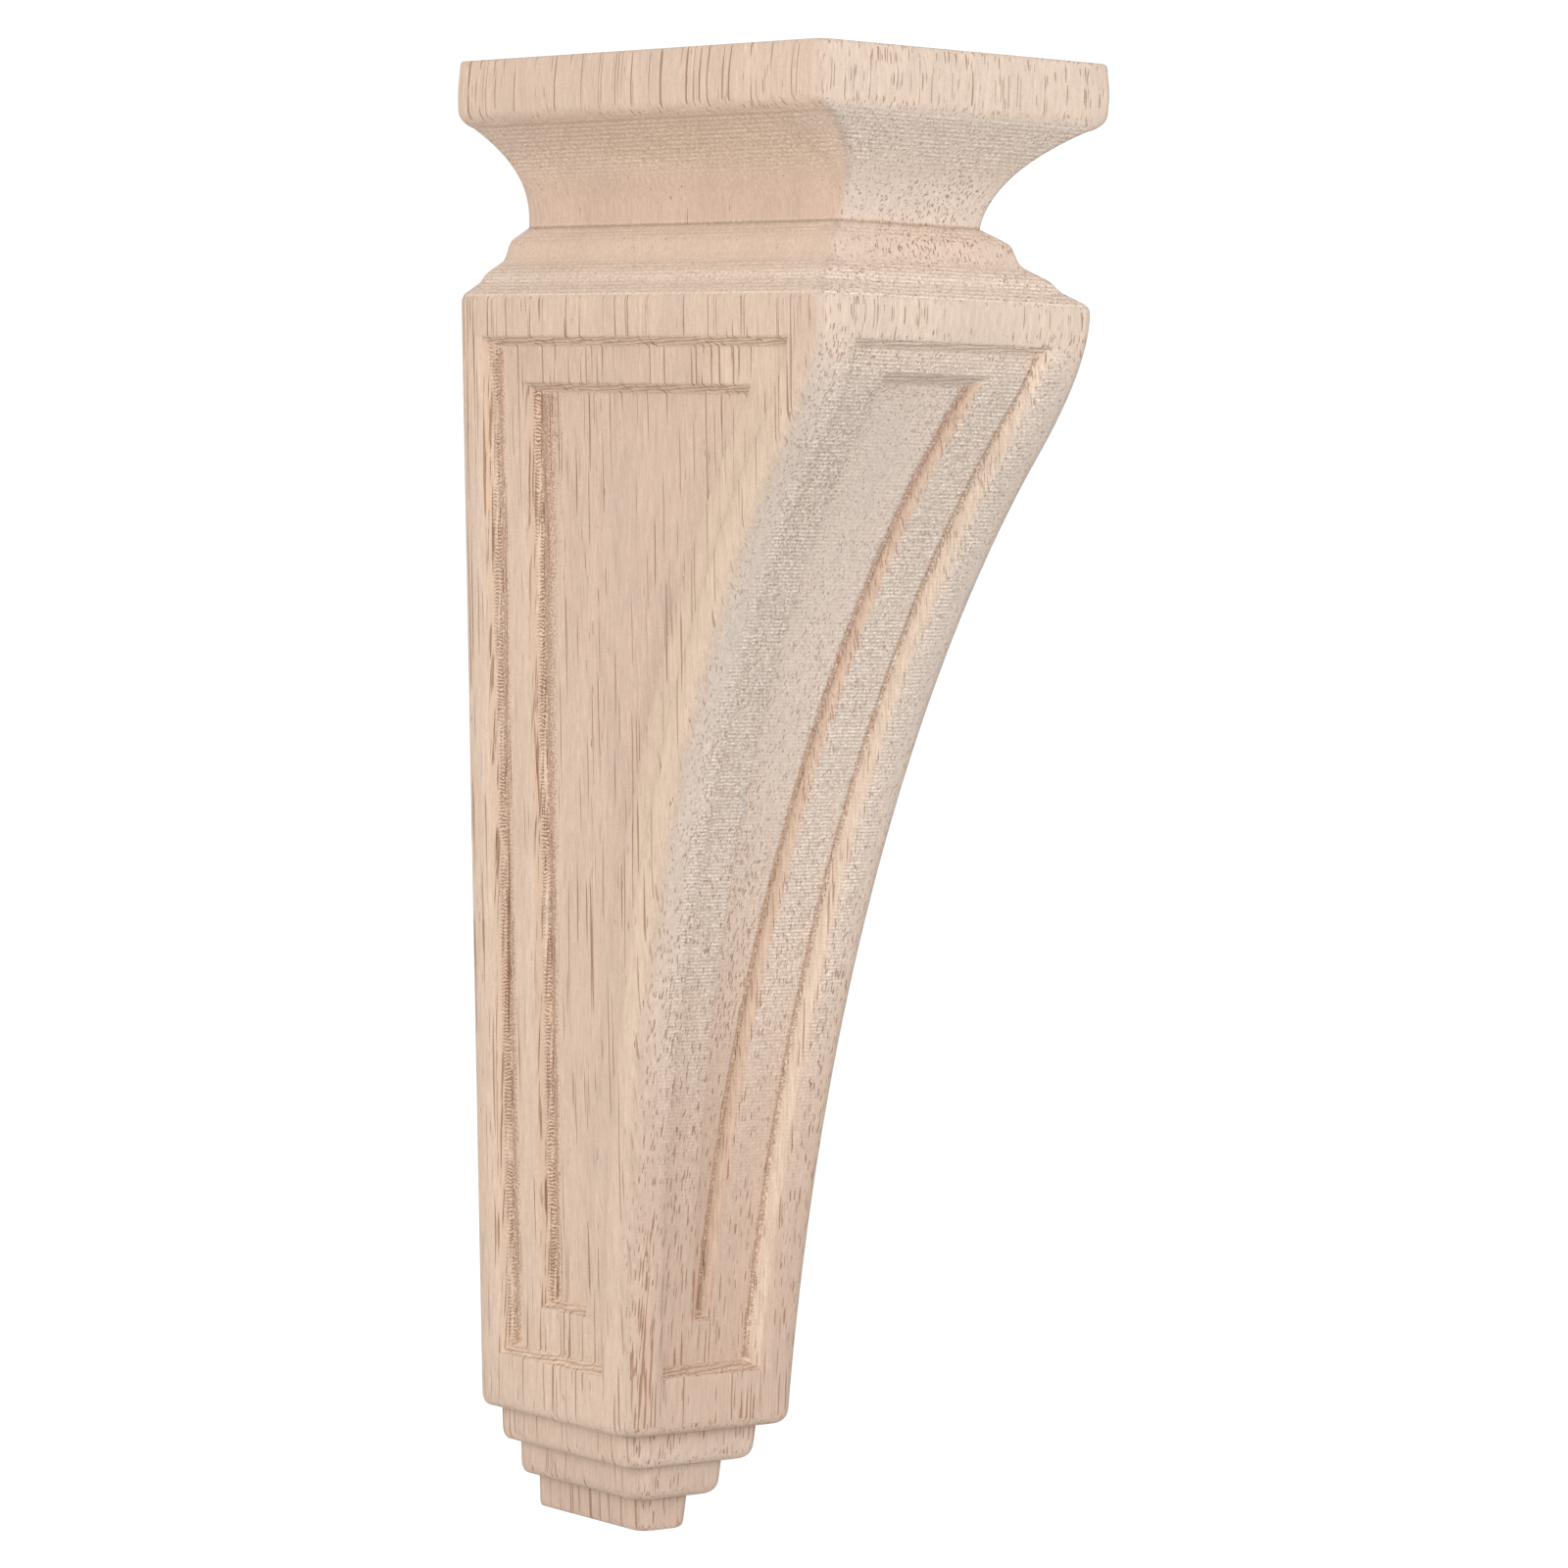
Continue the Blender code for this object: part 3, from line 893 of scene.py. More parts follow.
class Signal:
    """A float socket that takes part in Python arithmetic, adding Math nodes as it goes."""

    def __init__(self, bench: Bench, socket: Socket) -> None:
        """Keeps the socket and the bench that adds its nodes."""
        self.bench = bench
        self.socket = socket

    def __add__(self, other: Signal | float) -> Signal:
        """self + other."""
        return self.bench.math("ADD", self, other)

    __radd__ = __add__

    def __sub__(self, other: Signal | float) -> Signal:
        """self - other."""
        return self.bench.math("SUBTRACT", self, other)

    def __rsub__(self, other: float) -> Signal:
        """other - self."""
        return self.bench.math("SUBTRACT", other, self)

    def __mul__(self, other: Signal | float) -> Signal:
        """self * other."""
        return self.bench.math("MULTIPLY", self, other)

    __rmul__ = __mul__

    def __truediv__(self, other: Signal | float) -> Signal:
        """self / other."""
        return self.bench.math("DIVIDE", self, other)

    def rise(self, low: float, high: float) -> Signal:
        """Rises smoothly from 0 at low to 1 at high."""
        node = self.bench.node("ShaderNodeMapRange", {"interpolation_type": "SMOOTHSTEP"}, {
            0: self, 1: low, 2: high, 3: 0.0, 4: 1.0})
        return Signal(self.bench, node.outputs[0])

    def fall(self, low: float, high: float) -> Signal:
        """Falls smoothly from 1 at low to 0 at high."""
        return 1 - self.rise(low, high)

    def band(self, start: Pair, end: Pair) -> Signal:
        """Rises over the first stretch and falls again over the second."""
        return self.rise(*start) * self.fall(*end)

    def ragged(self, grit: Signal, reach: float, shows: Pair) -> Signal:
        """Brings a mask in over the given values, along edges that the grit makes ragged."""
        return (self + (grit - 0.5) * reach).rise(*shows)


@dataclass(frozen=True)
class Pattern:
    """A noise pattern: its cell in millimetres, its fineness, and where its crests come in."""

    cell: Triple
    detail: float = 2.0
    roughness: float = 0.5
    shows: Pair = (0.0, 1.0)


class Bench:
    """Adds nodes to one node tree."""

    def __init__(self, tree: bpy.types.NodeTree) -> None:
        """Keeps the tree."""
        self.tree = tree

    @classmethod
    def on(cls, owner: bpy.types.Material | bpy.types.World) -> Bench:
        """Clears the nodes of a material or a world and starts a bench on it."""
        owner.use_nodes = True
        owner.node_tree.nodes.clear()
        return cls(owner.node_tree)

    def node(self, kind: str, settings: dict | None = None, inputs: dict | None = None) -> bpy.types.Node:
        """Adds a node.

        Args:
            kind: The node's type.
            settings: Properties to set first.
            inputs: Values, signals or sockets by the number or the name of the input.

        Returns:
            The new node.
        """
        node = self.tree.nodes.new(kind)
        for key, value in (settings or {}).items():
            setattr(node, key, value)
        for key, value in (inputs or {}).items():
            if isinstance(value, Signal):
                self.tree.links.new(value.socket, node.inputs[key])
            elif isinstance(value, bpy.types.NodeSocket):
                self.tree.links.new(value, node.inputs[key])
            else:
                node.inputs[key].default_value = value
        return node

    def math(self, operation: str, *values: Signal | float) -> Signal:
        """Adds a Math node and returns its result."""
        node = self.node("ShaderNodeMath", {"operation": operation}, dict(enumerate(values)))
        return Signal(self, node.outputs[0])

    def vector(self, operation: str, first: Socket, second: Socket | Triple) -> Socket:
        """Adds a Vector Math node and returns its result."""
        return self.node("ShaderNodeVectorMath", {"operation": operation}, {0: first, 1: second}).outputs[0]

    def wave(self, turns: Signal) -> Signal:
        """A sine wave from -1 to 1 over the given number of turns."""
        return self.math("SINE", turns * math.tau)

    def split(self, vector: Socket) -> list[Signal]:
        """The three parts of a vector."""
        return [Signal(self, part) for part in self.node("ShaderNodeSeparateXYZ", {}, {0: vector}).outputs]

    def stretch(self, vector: Socket, cell: Triple) -> Socket:
        """Scales a vector in metres so that one unit is a cell of the given size in millimetres."""
        return self.vector("MULTIPLY", vector, tuple(1.0 / (size * MM) for size in cell))

    def noise(self, vector: Socket, pattern: Pattern) -> Signal:
        """A noise pattern, about 0.5 on average."""
        return Signal(self, self.node("ShaderNodeTexNoise", {}, {
            "Vector": self.stretch(vector, pattern.cell), "Scale": 1.0, "Detail": pattern.detail,
            "Roughness": pattern.roughness}).outputs[0])

    def blend(self, share: Signal | float, first: Tone, second: Tone, mode: str = "MIX") -> Socket:
        """Mixes two colours, of which a plain one gets its alpha."""
        first, second = ((*tone, 1.0) if isinstance(tone, tuple) else tone for tone in (first, second))
        node = self.node("ShaderNodeMix", {"data_type": "RGBA", "blend_type": mode, "clamp_factor": True}, {
            0: share, 6: first, 7: second})
        return node.outputs[2]

    def layers(self, ground: Tone, *layers: tuple[Signal, Tone]) -> Socket:
        """Lays colours over a ground one after another, each by its own share."""
        for share, tone in layers:
            ground = self.blend(share, ground, tone)
        return ground

    def shade(self, tone: Socket, value: Signal, spread: float) -> Socket:
        """Darkens and lightens a colour by the spread, as a value runs from 0.25 to 0.75."""
        grey = self.node("ShaderNodeMapRange", {}, {0: value, 1: 0.25, 2: 0.75, 3: 1 - spread, 4: 1 + spread})
        return self.blend(1.0, tone, grey.outputs[0], "MULTIPLY")

    def lift(self, tone: Socket, share: Signal, gain: float) -> Socket:
        """Lightens a colour by the gain where the share is 1, or darkens it where the gain is negative."""
        return self.shade(tone, 0.5 + share * math.copysign(0.25, gain), abs(gain))


@dataclass(frozen=True)
class ToolRidges:
    """The fine level ridges that the carving cutter left, raised on the mesh by a Geometry Nodes tree."""

    pitch: float
    height: float = 0.11 * MM
    waver: float = 0.35
    seed: int = 7
    drift: Pattern = Pattern((6.0, 6.0, 14.0))
    strength: Pattern = Pattern((4.0, 4.0, 5.0), 3.0, shows=(0.25, 0.6))

    def _inputs(self, finish: bpy.types.Material) -> dict[str, tuple[str, object]]:
        """The tree's inputs after Geometry: the kind of each socket, and its value."""
        return {
            "Pitch": ("Float", self.pitch), "Height": ("Float", self.height), "Waver": ("Float", self.waver),
            "Seed": ("Int", self.seed), "Finish": ("Material", finish)}

    def tree(self, finish: bpy.types.Material) -> bpy.types.NodeTree:
        """Builds the tree.

        Args:
            finish: The material that the result takes.

        Returns:
            A tree with the inputs Geometry, Pitch, Height, Waver, Seed and Finish.
        """
        tree = bpy.data.node_groups.new("tool_ridges", "GeometryNodeTree")
        for way in ("INPUT", "OUTPUT"):
            tree.interface.new_socket(name="Geometry", in_out=way, socket_type="NodeSocketGeometry")
        for name, (kind, value) in self._inputs(finish).items():
            socket = tree.interface.new_socket(name=name, in_out="INPUT", socket_type=f"NodeSocket{kind}")
            socket.default_value = value
        bench = Bench(tree)
        given = bench.node("NodeGroupInput").outputs
        sizes = ("Pitch", "Height", "Waver", "Seed")
        pitch, height, waver, seed = (Signal(bench, given[name]) for name in sizes)
        place = bench.node("GeometryNodeInputPosition").outputs[0]
        shifted = bench.vector("ADD", place, bench.node("ShaderNodeCombineXYZ", {}, {0: seed}).outputs[0])
        drift = bench.noise(shifted, self.drift) - 0.5
        strength = bench.noise(shifted, self.strength).rise(*self.strength.shows)
        mask = Signal(bench, bench.node("GeometryNodeInputNamedAttribute", {"data_type": "FLOAT"}, {
            "Name": Mask.RIDGE.value}).outputs[0])
        crest = bench.wave(bench.split(place)[2] / pitch + drift * waver) * strength * mask
        noted = bench.node("GeometryNodeStoreNamedAttribute", {"data_type": "FLOAT", "domain": "POINT"}, {
            "Geometry": given["Geometry"], "Name": Mask.WAVE.value, "Value": crest})
        normal = bench.node("GeometryNodeInputNormal").outputs[0]
        offset = bench.node("ShaderNodeVectorMath", {"operation": "SCALE"}, {
            0: normal, "Scale": (crest - 1.0) * height * 0.5 * mask})
        moved = bench.node("GeometryNodeSetPosition", {}, {
            "Geometry": noted.outputs[0], "Offset": offset.outputs[0]})
        real = bench.node("GeometryNodeRealizeInstances", {}, {"Geometry": moved.outputs[0]})
        dressed = bench.node("GeometryNodeSetMaterial", {}, {
            "Geometry": real.outputs[0], "Material": given["Finish"]})
        bench.node("NodeGroupOutput", {}, {0: dressed.outputs[0]})
        return tree

    def carve(self, piece: bpy.types.Object, finish: bpy.types.Material) -> bpy.types.Object:
        """Raises the ridges on a piece and leaves it a plain mesh.

        Args:
            piece: The smooth piece, with the ridge mask on its points.
            finish: The material that it takes.

        Returns:
            The same object with its new mesh and no modifier.
        """
        modifier = piece.modifiers.new("tool_ridges", "NODES")
        modifier.node_group = self.tree(finish)
        inputs = self._inputs(finish)
        for item in modifier.node_group.interface.items_tree:
            if item.in_out == "INPUT" and item.name in inputs:
                modifier[item.identifier] = inputs[item.name][1]
        evaluated = piece.evaluated_get(bpy.context.evaluated_depsgraph_get())
        mesh = bpy.data.meshes.new_from_object(evaluated)
        mesh.name = piece.name
        piece.modifiers.clear()
        smooth, piece.data = piece.data, mesh
        bpy.data.meshes.remove(smooth)
        return piece


@dataclass(frozen=True)
class Crack:
    """A short crack: where it lies across the front, its foot, its head and half its width, in metres."""

    across: float
    foot: float
    head: float
    half: float


@dataclass(frozen=True)
class Wall:
    """An upright wall of the front panels: how strongly its colours show, and those at its lip and foot."""

    mask: Mask
    strength: float
    lip: Triple
    foot: Triple


@dataclass(frozen=True)
class Grain:
    """The places, patterns and masks that several parts of the finish read."""

    bench: Bench
    place: Socket
    fibre: Socket
    x: Signal
    y: Signal
    z: Signal
    fibres: Signal
    grit: Signal
    crumbs: Signal
    cloud: Signal
    mask: dict[Mask, Signal]


@dataclass(frozen=True)
class Marks:
    """What the cutter and the wood's pores left on the surface, and a line of painted shade along the walls'
    feet, each from 0 to 1.
    """

    pores: Signal
    groove: Signal
    lines: Signal
    at_lip: Signal
    at_foot: Signal
    rungs: Signal
    seams: Signal
    foot_line: Signal


@dataclass(frozen=True)
class RawHardwood:
    """Pale hardwood as it leaves the carving machine: dry, open-pored and without any finish.

    A band holds two stretches in metres: a zone of the block starts over the first and ends over the second.
    """

    side_tone: Triple = (0.668, 0.512, 0.402)
    front_tone: Triple = (0.640, 0.510, 0.418)
    cool_tone: Triple = (0.580, 0.492, 0.424)
    pink_and_shade_tone: Triple = (0.628, 0.465, 0.370)
    honey_tone: Triple = (0.678, 0.526, 0.402)
    stain_tone: Triple = (0.620, 0.470, 0.355)
    rear_tone: Triple = (0.710, 0.525, 0.395)
    # Darker and pinker than the wood: partly painted shade, low on the front, on its panel floors and on the
    # tiers.
    low_shade_tone: Triple = (0.555, 0.408, 0.322)
    # Painted light: the lighter tone of the up-facing treads.
    lit_tread_tone: Triple = (0.740, 0.600, 0.500)
    # Painted light and a greyer tone on the lower front of the cove.
    lit_cove_tone: Triple = (0.675, 0.580, 0.505)
    pore_and_shade_tone: Triple = (0.270, 0.120, 0.058)
    crack_tone: Triple = (0.420, 0.180, 0.080)
    groove_and_shade_tone: Triple = (0.360, 0.270, 0.200)
    fuzz_tone: Triple = (0.900, 0.800, 0.700)
    # Painted light and shade: each wall is lighter at its lip than the wood round it and grows darker towards
    # its foot, where shade falls.
    walls: tuple[Wall, ...] = (
        Wall(Mask.OUTER_WALL, 0.75, (0.790, 0.645, 0.515), (0.700, 0.540, 0.415)),
        Wall(Mask.INNER_WALL, 0.82, (0.715, 0.535, 0.410), (0.480, 0.325, 0.225)))
    fibres: Pattern = Pattern((0.42, 0.42, 6.0), 1.5, 0.6)
    streaks: Pattern = Pattern((1.40, 1.40, 20.0), 2.0, 0.6)
    grit: Pattern = Pattern((0.55, 0.55, 0.42), 1.5, 0.6)
    crumbs: Pattern = Pattern((0.95, 0.95, 0.50), 1.0)
    cloud: Pattern = Pattern((11.0, 11.0, 50.0), 3.0)
    front_pores: Pattern = Pattern((0.40, 0.40, 46.0), 0.0, shows=(0.712, 0.762))
    side_pores: Pattern = Pattern((1.7, 0.46, 60.0), 0.0, shows=(0.706, 0.756))
    short_pores: Pattern = Pattern((0.42, 0.42, 10.0), 1.0, 0.35, (0.755, 0.800))
    groove_wander: Pattern = Pattern((6.0, 6.0, 1.0))
    rung_wander: Pattern = Pattern((0.9, 0.9, 2.2), 3.0)
    rung_patch: Pattern = Pattern((1.2, 1.2, 14.0), shows=(0.30, 0.52))
    seams: Pattern = Pattern((0.45, 0.45, 18.0), shows=(0.56, 0.68))
    warp: Pattern = Pattern((16.0, 16.0, 40.0), 3.0)
    fibre_bends: tuple[tuple[Triple, float], ...] = (
        ((30.0, 30.0, 80.0), 2.6 * MM), ((2.5, 2.5, 7.0), 0.10 * MM))
    pore_crowding: float = 0.24
    front_crowding: float = 0.085
    groove_pitch: float = 0.66 * MM
    groove_slant: float = 0.04
    arch_apex: Pair = (-44.0 * MM, -22.0 * MM)
    arch_spread: float = 0.34
    arch_edge: Pair = (-16.0 * MM, 26.0 * MM)
    warp_reach: float = 34.0 * MM
    ring_pitch: float = 13.0 * MM
    corner_turn: Pair = (0.20, 0.36)
    figure_top: Pair = (0.085, 0.105)
    honey_depth: Pair = (-0.058, -0.044)
    nose_shade_depth: Pair = (-0.112, -0.103)
    tier_heights: Band = ((-0.150, -0.130), (-0.131, -0.128))
    stain_top: Pair = (0.1375, 0.1410)
    stain_depth: Band = ((-0.106, -0.103), (-0.034, -0.020))
    inner_rear_depth: Pair = (0.012, 0.014)
    rear_lip: Pair = (0.03, 0.30)
    rear_foot: Pair = (0.40, 0.75)
    groove_raggedness: float = 1.1
    foot_shade_raggedness: float = 1.3
    crease_shade_raggedness: float = 1.6
    moulding_band: Band = ((0.1036, 0.1042), (0.1385, 0.1405))
    fascia_band: Band = ((0.076, 0.086), (0.103, 0.105))
    lower_tread_band: Band = ((0.1038, 0.1044), (0.1116, 0.1122))
    upper_tread_band: Band = ((0.1160, 0.1164), (0.1188, 0.1194))
    low_band: Band = ((-0.134, -0.128), (-0.110, 0.030))
    cove_band: Band = ((0.1192, 0.1200), (0.1260, 0.1310))
    cracks: tuple[Crack, ...] = (
        Crack(-2.9 * MM, -110.7 * MM, -95.7 * MM, 0.22 * MM),
        Crack(-19.2 * MM, -121.5 * MM, -117.5 * MM, 0.20 * MM))
    crack_fade: float = 2.0 * MM
    corner_shade: float = 0.14
    roughness: float = 0.85
    specular: float = 0.2

    def material(self) -> bpy.types.Material:
        """Builds the finish.

        Returns:
            A material in object coordinates, so that the grain runs through the block as it does in wood.
        """
        material = bpy.data.materials.new(SLOT)
        bench = Bench.on(material)
        grain = self._grain(bench)
        marks = self._marks(grain)
        tone = self._marked(grain, marks, self._ground(grain))
        bump = bench.node("ShaderNodeBump", {}, {
            "Height": self._relief(grain, marks), "Distance": MM, "Strength": 1.0})
        shader = bench.node("ShaderNodeBsdfPrincipled", {}, {
            "Base Color": tone, "Roughness": self.roughness, "Normal": bump.outputs[0],
            "Specular IOR Level": self.specular})
        bench.node("ShaderNodeOutputMaterial", {}, {0: shader.outputs[0]})
        return material

    def _grain(self, bench: Bench) -> Grain:
        """Adds the shared patterns.

        Args:
            bench: The bench that adds the nodes.

        Returns:
            The patterns. Those along the fibres bend a little, so that they waver on their way down.
        """
        place = fibre = bench.node("ShaderNodeTexCoord").outputs["Object"]
        for cell, reach in self.fibre_bends:
            drift = bench.node("ShaderNodeTexNoise", {}, {
                "Vector": bench.stretch(place, cell), "Scale": 1.0, "Detail": 1.0}).outputs["Color"]
            centred = bench.vector("SUBTRACT", drift, (0.5, 0.5, 0.5))
            fibre = bench.vector("ADD", fibre, bench.vector("MULTIPLY", centred, (reach, reach, 0.0)))
        masks = {}
        for mask in Mask:
            if mask is not Mask.RIDGE:
                node = bench.node("ShaderNodeAttribute", {"attribute_name": mask.value})
                masks[mask] = Signal(bench, node.outputs["Fac"])
        return Grain(
            bench, place, fibre, *bench.split(place), bench.noise(fibre, self.fibres),
            bench.noise(place, self.grit), bench.noise(place, self.crumbs), bench.noise(fibre, self.cloud),
            masks)

    def _marks(self, grain: Grain) -> Marks:
        """Works out the marks on the surface.

        Args:
            grain: The shared patterns.

        Returns:
            The pores, the ragged level walls and their lines, the lip and foot of the rear walls with the
            marks there, and the broken line of painted shade along a wall's foot.
        """
        grit, ladder = grain.grit, grain.mask[Mask.LADDER]
        groove = grain.mask[Mask.GROOVE].ragged(grit, self.groove_raggedness, (0.25, 0.75))
        at_foot = ladder.rise(*self.rear_foot)
        at_lip = ladder.rise(*self.rear_lip) * (1 - at_foot)
        foot_line = grain.mask[Mask.FOOT_LINE].ragged(grit, self.foot_shade_raggedness, (0.45, 0.75))
        return Marks(
            self._pores(grain), groove, self._groove_lines(grain) * groove, at_lip, at_foot,
            self._rungs(grain) * at_foot, self._seams(grain) * (at_lip + at_foot * 0.5), foot_line)

    def _ground(self, grain: Grain) -> Socket:
        """Gives the wood's colour without any mark of the cutter.

        Args:
            grain: The shared patterns.

        Returns:
            The figure, greyer where the sweep cuts across the fibres, with clouds, streaks, fibres and grit.
            On the front panels' inner floors it carries painted light on the sweep and, elsewhere, a darker,
            pinker tone that is partly painted shade.
        """
        bench, floor, cool = grain.bench, grain.mask[Mask.FLOOR], grain.mask[Mask.COOL]
        tone = bench.blend(cool, self._figure(grain), self.cool_tone)
        # Painted light: the inner floors of the front panels are lighter on the sweep.
        tone = bench.lift(tone, floor * cool, 0.09)
        # Partly painted shade: the other inner floors of the front panels take the darker, pinker low tone.
        tone = bench.blend(floor * (1 - cool) * 0.45, tone, self.low_shade_tone)
        streaks = bench.noise(grain.fibre, self.streaks)
        patterns = ((grain.cloud, 0.05), (streaks, 0.045), (grain.fibres, 0.11), (grain.grit, 0.06))
        for value, spread in patterns:
            tone = bench.shade(tone, value, spread)
        return tone

    def _marked(self, grain: Grain, marks: Marks, tone: Socket) -> Socket:
        """Lays the colours of the walls and of the marks over the ground, each with its greatest share.

        Args:
            grain: The shared patterns.
            marks: The marks on the surface.
            tone: The ground colour.

        Returns:
            The finished colour, with painted light and shade on the panel walls, the cutter's ridges, the
            level walls, the inner rear walls, the creases, the walls' feet and the rounded front corner.
        """
        bench, mask, grit, crumbs = grain.bench, grain.mask, grain.grit, grain.crumbs
        # Painted light and shade on the panel walls: lighter at the lip, darker towards the foot.
        for wall in self.walls:
            down = mask[wall.mask]
            graded = bench.blend(down.rise(0.45, 0.97) * wall.strength, wall.lip, wall.foot)
            graded = bench.shade(graded, grain.fibres, 0.20)
            tone = bench.blend(down.rise(0.02, 0.35) * wall.strength, tone, graded)
        tone = bench.blend((marks.at_lip + marks.at_foot) * 0.6, tone, self.rear_tone)
        # Painted light: the foot of the inner rear wall, deep in the side panel, is lightened.
        tone = bench.lift(tone, marks.at_foot * (0 - grain.y).rise(*self.inner_rear_depth), 0.16)
        tone = bench.layers(
            tone,
            (mask[Mask.FUZZ] * grit.rise(0.50, 0.66) * 0.60, self.fuzz_tone),
            (mask[Mask.FUZZ] * (1 - crumbs).rise(0.52, 0.70) * 0.42, self.groove_and_shade_tone))
        # Painted light and shade: the crests of the cutter's ridges are lighter and the hollows between them
        # darker.
        tone = bench.lift(tone, mask[Mask.WAVE] * crumbs.rise(0.26, 0.54), 0.30)
        # Painted light: the level walls at the top and foot of the panels are lightened against the shade
        # they lie in.
        tone = bench.lift(tone, marks.groove, 0.28)
        tone = bench.layers(
            tone,
            (marks.lines * 0.50, self.groove_and_shade_tone),
            (marks.at_foot * (1 - marks.rungs) * grit.rise(0.48, 0.62) * 0.35, self.fuzz_tone),
            (marks.rungs * 0.72, self.pore_and_shade_tone),
            (marks.seams * 0.68, self.pore_and_shade_tone),
            # Painted shade: a broken dark line where a wall meets its floor.
            (marks.foot_line * 0.58, self.pore_and_shade_tone),
            # Painted shade in the creases under the cove and at the top of each tier.
            (mask[Mask.CREASE].ragged(grit, self.crease_shade_raggedness, (0.5, 0.9)) * 0.75, self.groove_and_shade_tone),
            (marks.pores * (1 - mask[Mask.COOL] * 0.40) * 0.68, self.pore_and_shade_tone),
            (self._cracks(grain) * mask[Mask.FRONT], self.crack_tone))
        # Painted shade: the rounded front corner is darkened, so that it shows no highlight.
        return bench.lift(tone, mask[Mask.CORNER], -self.corner_shade)

    @staticmethod
    def _relief(grain: Grain, marks: Marks) -> Signal:
        """Gives the fine relief that only the light shows.

        Args:
            grain: The shared patterns.
            marks: The marks on the surface.

        Returns:
            The height in millimetres.
        """
        heights = (
            (grain.fibres, 0.06), (grain.grit, 0.06), (marks.pores, -0.10), (marks.lines, -0.14),
            (marks.rungs, -0.14), (marks.seams, -0.20), (marks.foot_line, -0.10),
            (grain.mask[Mask.FUZZ] * grain.crumbs, 0.16))
        return sum(pattern * height for pattern, height in heights)

    def _pores(self, grain: Grain) -> Signal:
        """Draws open pores: thin dark lines along the fibres, long and short, closer together in some places.

        Args:
            grain: The shared patterns.

        Returns:
            1 in a pore and 0 beside it. The mouldings carry no long pores at the sides.
        """
        bench, front = grain.bench, grain.mask[Mask.FRONT]
        crowd = (grain.cloud - 0.5) * self.pore_crowding
        on_front = crowd + front * self.front_crowding
        kinds = ((self.front_pores, crowd), (self.side_pores, crowd), (self.short_pores, on_front))
        front_lines, side_lines, short_lines = (
            (bench.noise(grain.fibre, kind) + more).rise(*kind.shows) for kind, more in kinds)
        side_lines = side_lines * (1 - front) * (1 - grain.z.band(*self.moulding_band))
        return bench.math("MAXIMUM", front_lines * front + side_lines, short_lines)

    def _cracks(self, grain: Grain) -> Signal:
        """Draws the cracks low on the front.

        Args:
            grain: The shared patterns.

        Returns:
            How dark the cracks are at each point.
        """
        result = 0.0
        for crack in self.cracks:
            foot_end, head_start = crack.foot + self.crack_fade, crack.head - self.crack_fade
            off = grain.bench.math("ABSOLUTE", grain.x - crack.across + (grain.fibres - 0.5) * MM)
            dark = off.fall(0.4 * crack.half, crack.half) * 0.75
            dark = dark * grain.z.band((crack.foot, foot_end), (head_start, crack.head))
            result = grain.bench.math("MAXIMUM", result, dark)
        return result

    def _figure(self, grain: Grain) -> Socket:
        """Gives the ground colour with its growth figure: nested pointed arches on the sides, honey and pink.

        Args:
            grain: The shared patterns.

        Returns:
            The colour, with the tones of the treads, the cove, its stain and the tiers. The treads' tone is
            painted light, the front of the cove is lighter as painted light and greyer, the side beside the
            fascia's front corner is darker as painted shade, and the low front and the tiers are darker as
            partly painted shade and pinker.
        """
        bench, y, z, turned = grain.bench, grain.y, grain.z, grain.mask[Mask.FRONT]
        fascia = z.band(*self.fascia_band)
        front = turned * (1 - fascia) + turned.rise(*self.corner_turn) * fascia
        side = 1 - front
        warp = (bench.noise(grain.place, self.warp) - 0.5) * self.warp_reach
        off_axis = bench.math("ABSOLUTE", y - self.arch_apex[0] + warp * 0.16)
        arch = z - self.arch_apex[1] - off_axis / self.arch_spread + warp
        inside = arch.rise(*self.arch_edge)
        rings = bench.wave(arch / self.ring_pitch) * 0.5 + 0.5
        body = z.fall(*self.figure_top) * side
        treads = z.band(*self.lower_tread_band) + z.band(*self.upper_tread_band)
        tiers = z.fall(*self.tier_heights[0]) * 0.6 + z.fall(*self.tier_heights[1]) * front * 0.4
        stain_foot = (y + 0.099) * 0.0934 + 0.1268 + warp * 0.03
        stain = (z - stain_foot).rise(-0.0003, 0.0006) * z.fall(*self.stain_top) * side
        cove = z.band(*self.cove_band)
        return bench.layers(
            bench.blend(front, self.side_tone, self.front_tone),
            ((1 - inside) * body * y.fall(*self.honey_depth) * 0.85, self.honey_tone),
            (inside * body * (rings * 0.35 + 0.6), self.pink_and_shade_tone),
            # Painted shade with a pinker tone: the side is darker next to the fascia's front corner, so that
            # the corner reads sharp.
            (y.fall(*self.nose_shade_depth) * fascia * side * 0.75, self.pink_and_shade_tone),
            # Painted light: the treads, which face up, are lighter.
            (treads * 0.6, self.lit_tread_tone),
            # Partly painted shade, with a pinker tone: the low front and the tiers are darker.
            (z.band(*self.low_band) * front + tiers, self.low_shade_tone),
            (cove * side * 0.8, self.pink_and_shade_tone),
            # Painted light and a greyer tone: the lower front of the cove is lighter and greyer.
            (cove * front * 0.8, self.lit_cove_tone),
            (stain * y.band(*self.stain_depth) * 0.6, self.stain_tone))

    def _groove_lines(self, grain: Grain) -> Signal:
        """Draws the fine slanting lines that the cutter left along the level walls.

        Args:
            grain: The shared patterns.

        Returns:
            1 in a line, and a little between the lines.
        """
        wander = grain.bench.noise(grain.place, self.groove_wander) - 0.5
        turns = (grain.z + (grain.y - grain.x) * self.groove_slant) / self.groove_pitch + wander * 1.6
        return (grain.bench.wave(turns) * 0.4 + 0.15 + grain.grit).rise(0.45, 0.95) * 0.8 + 0.2

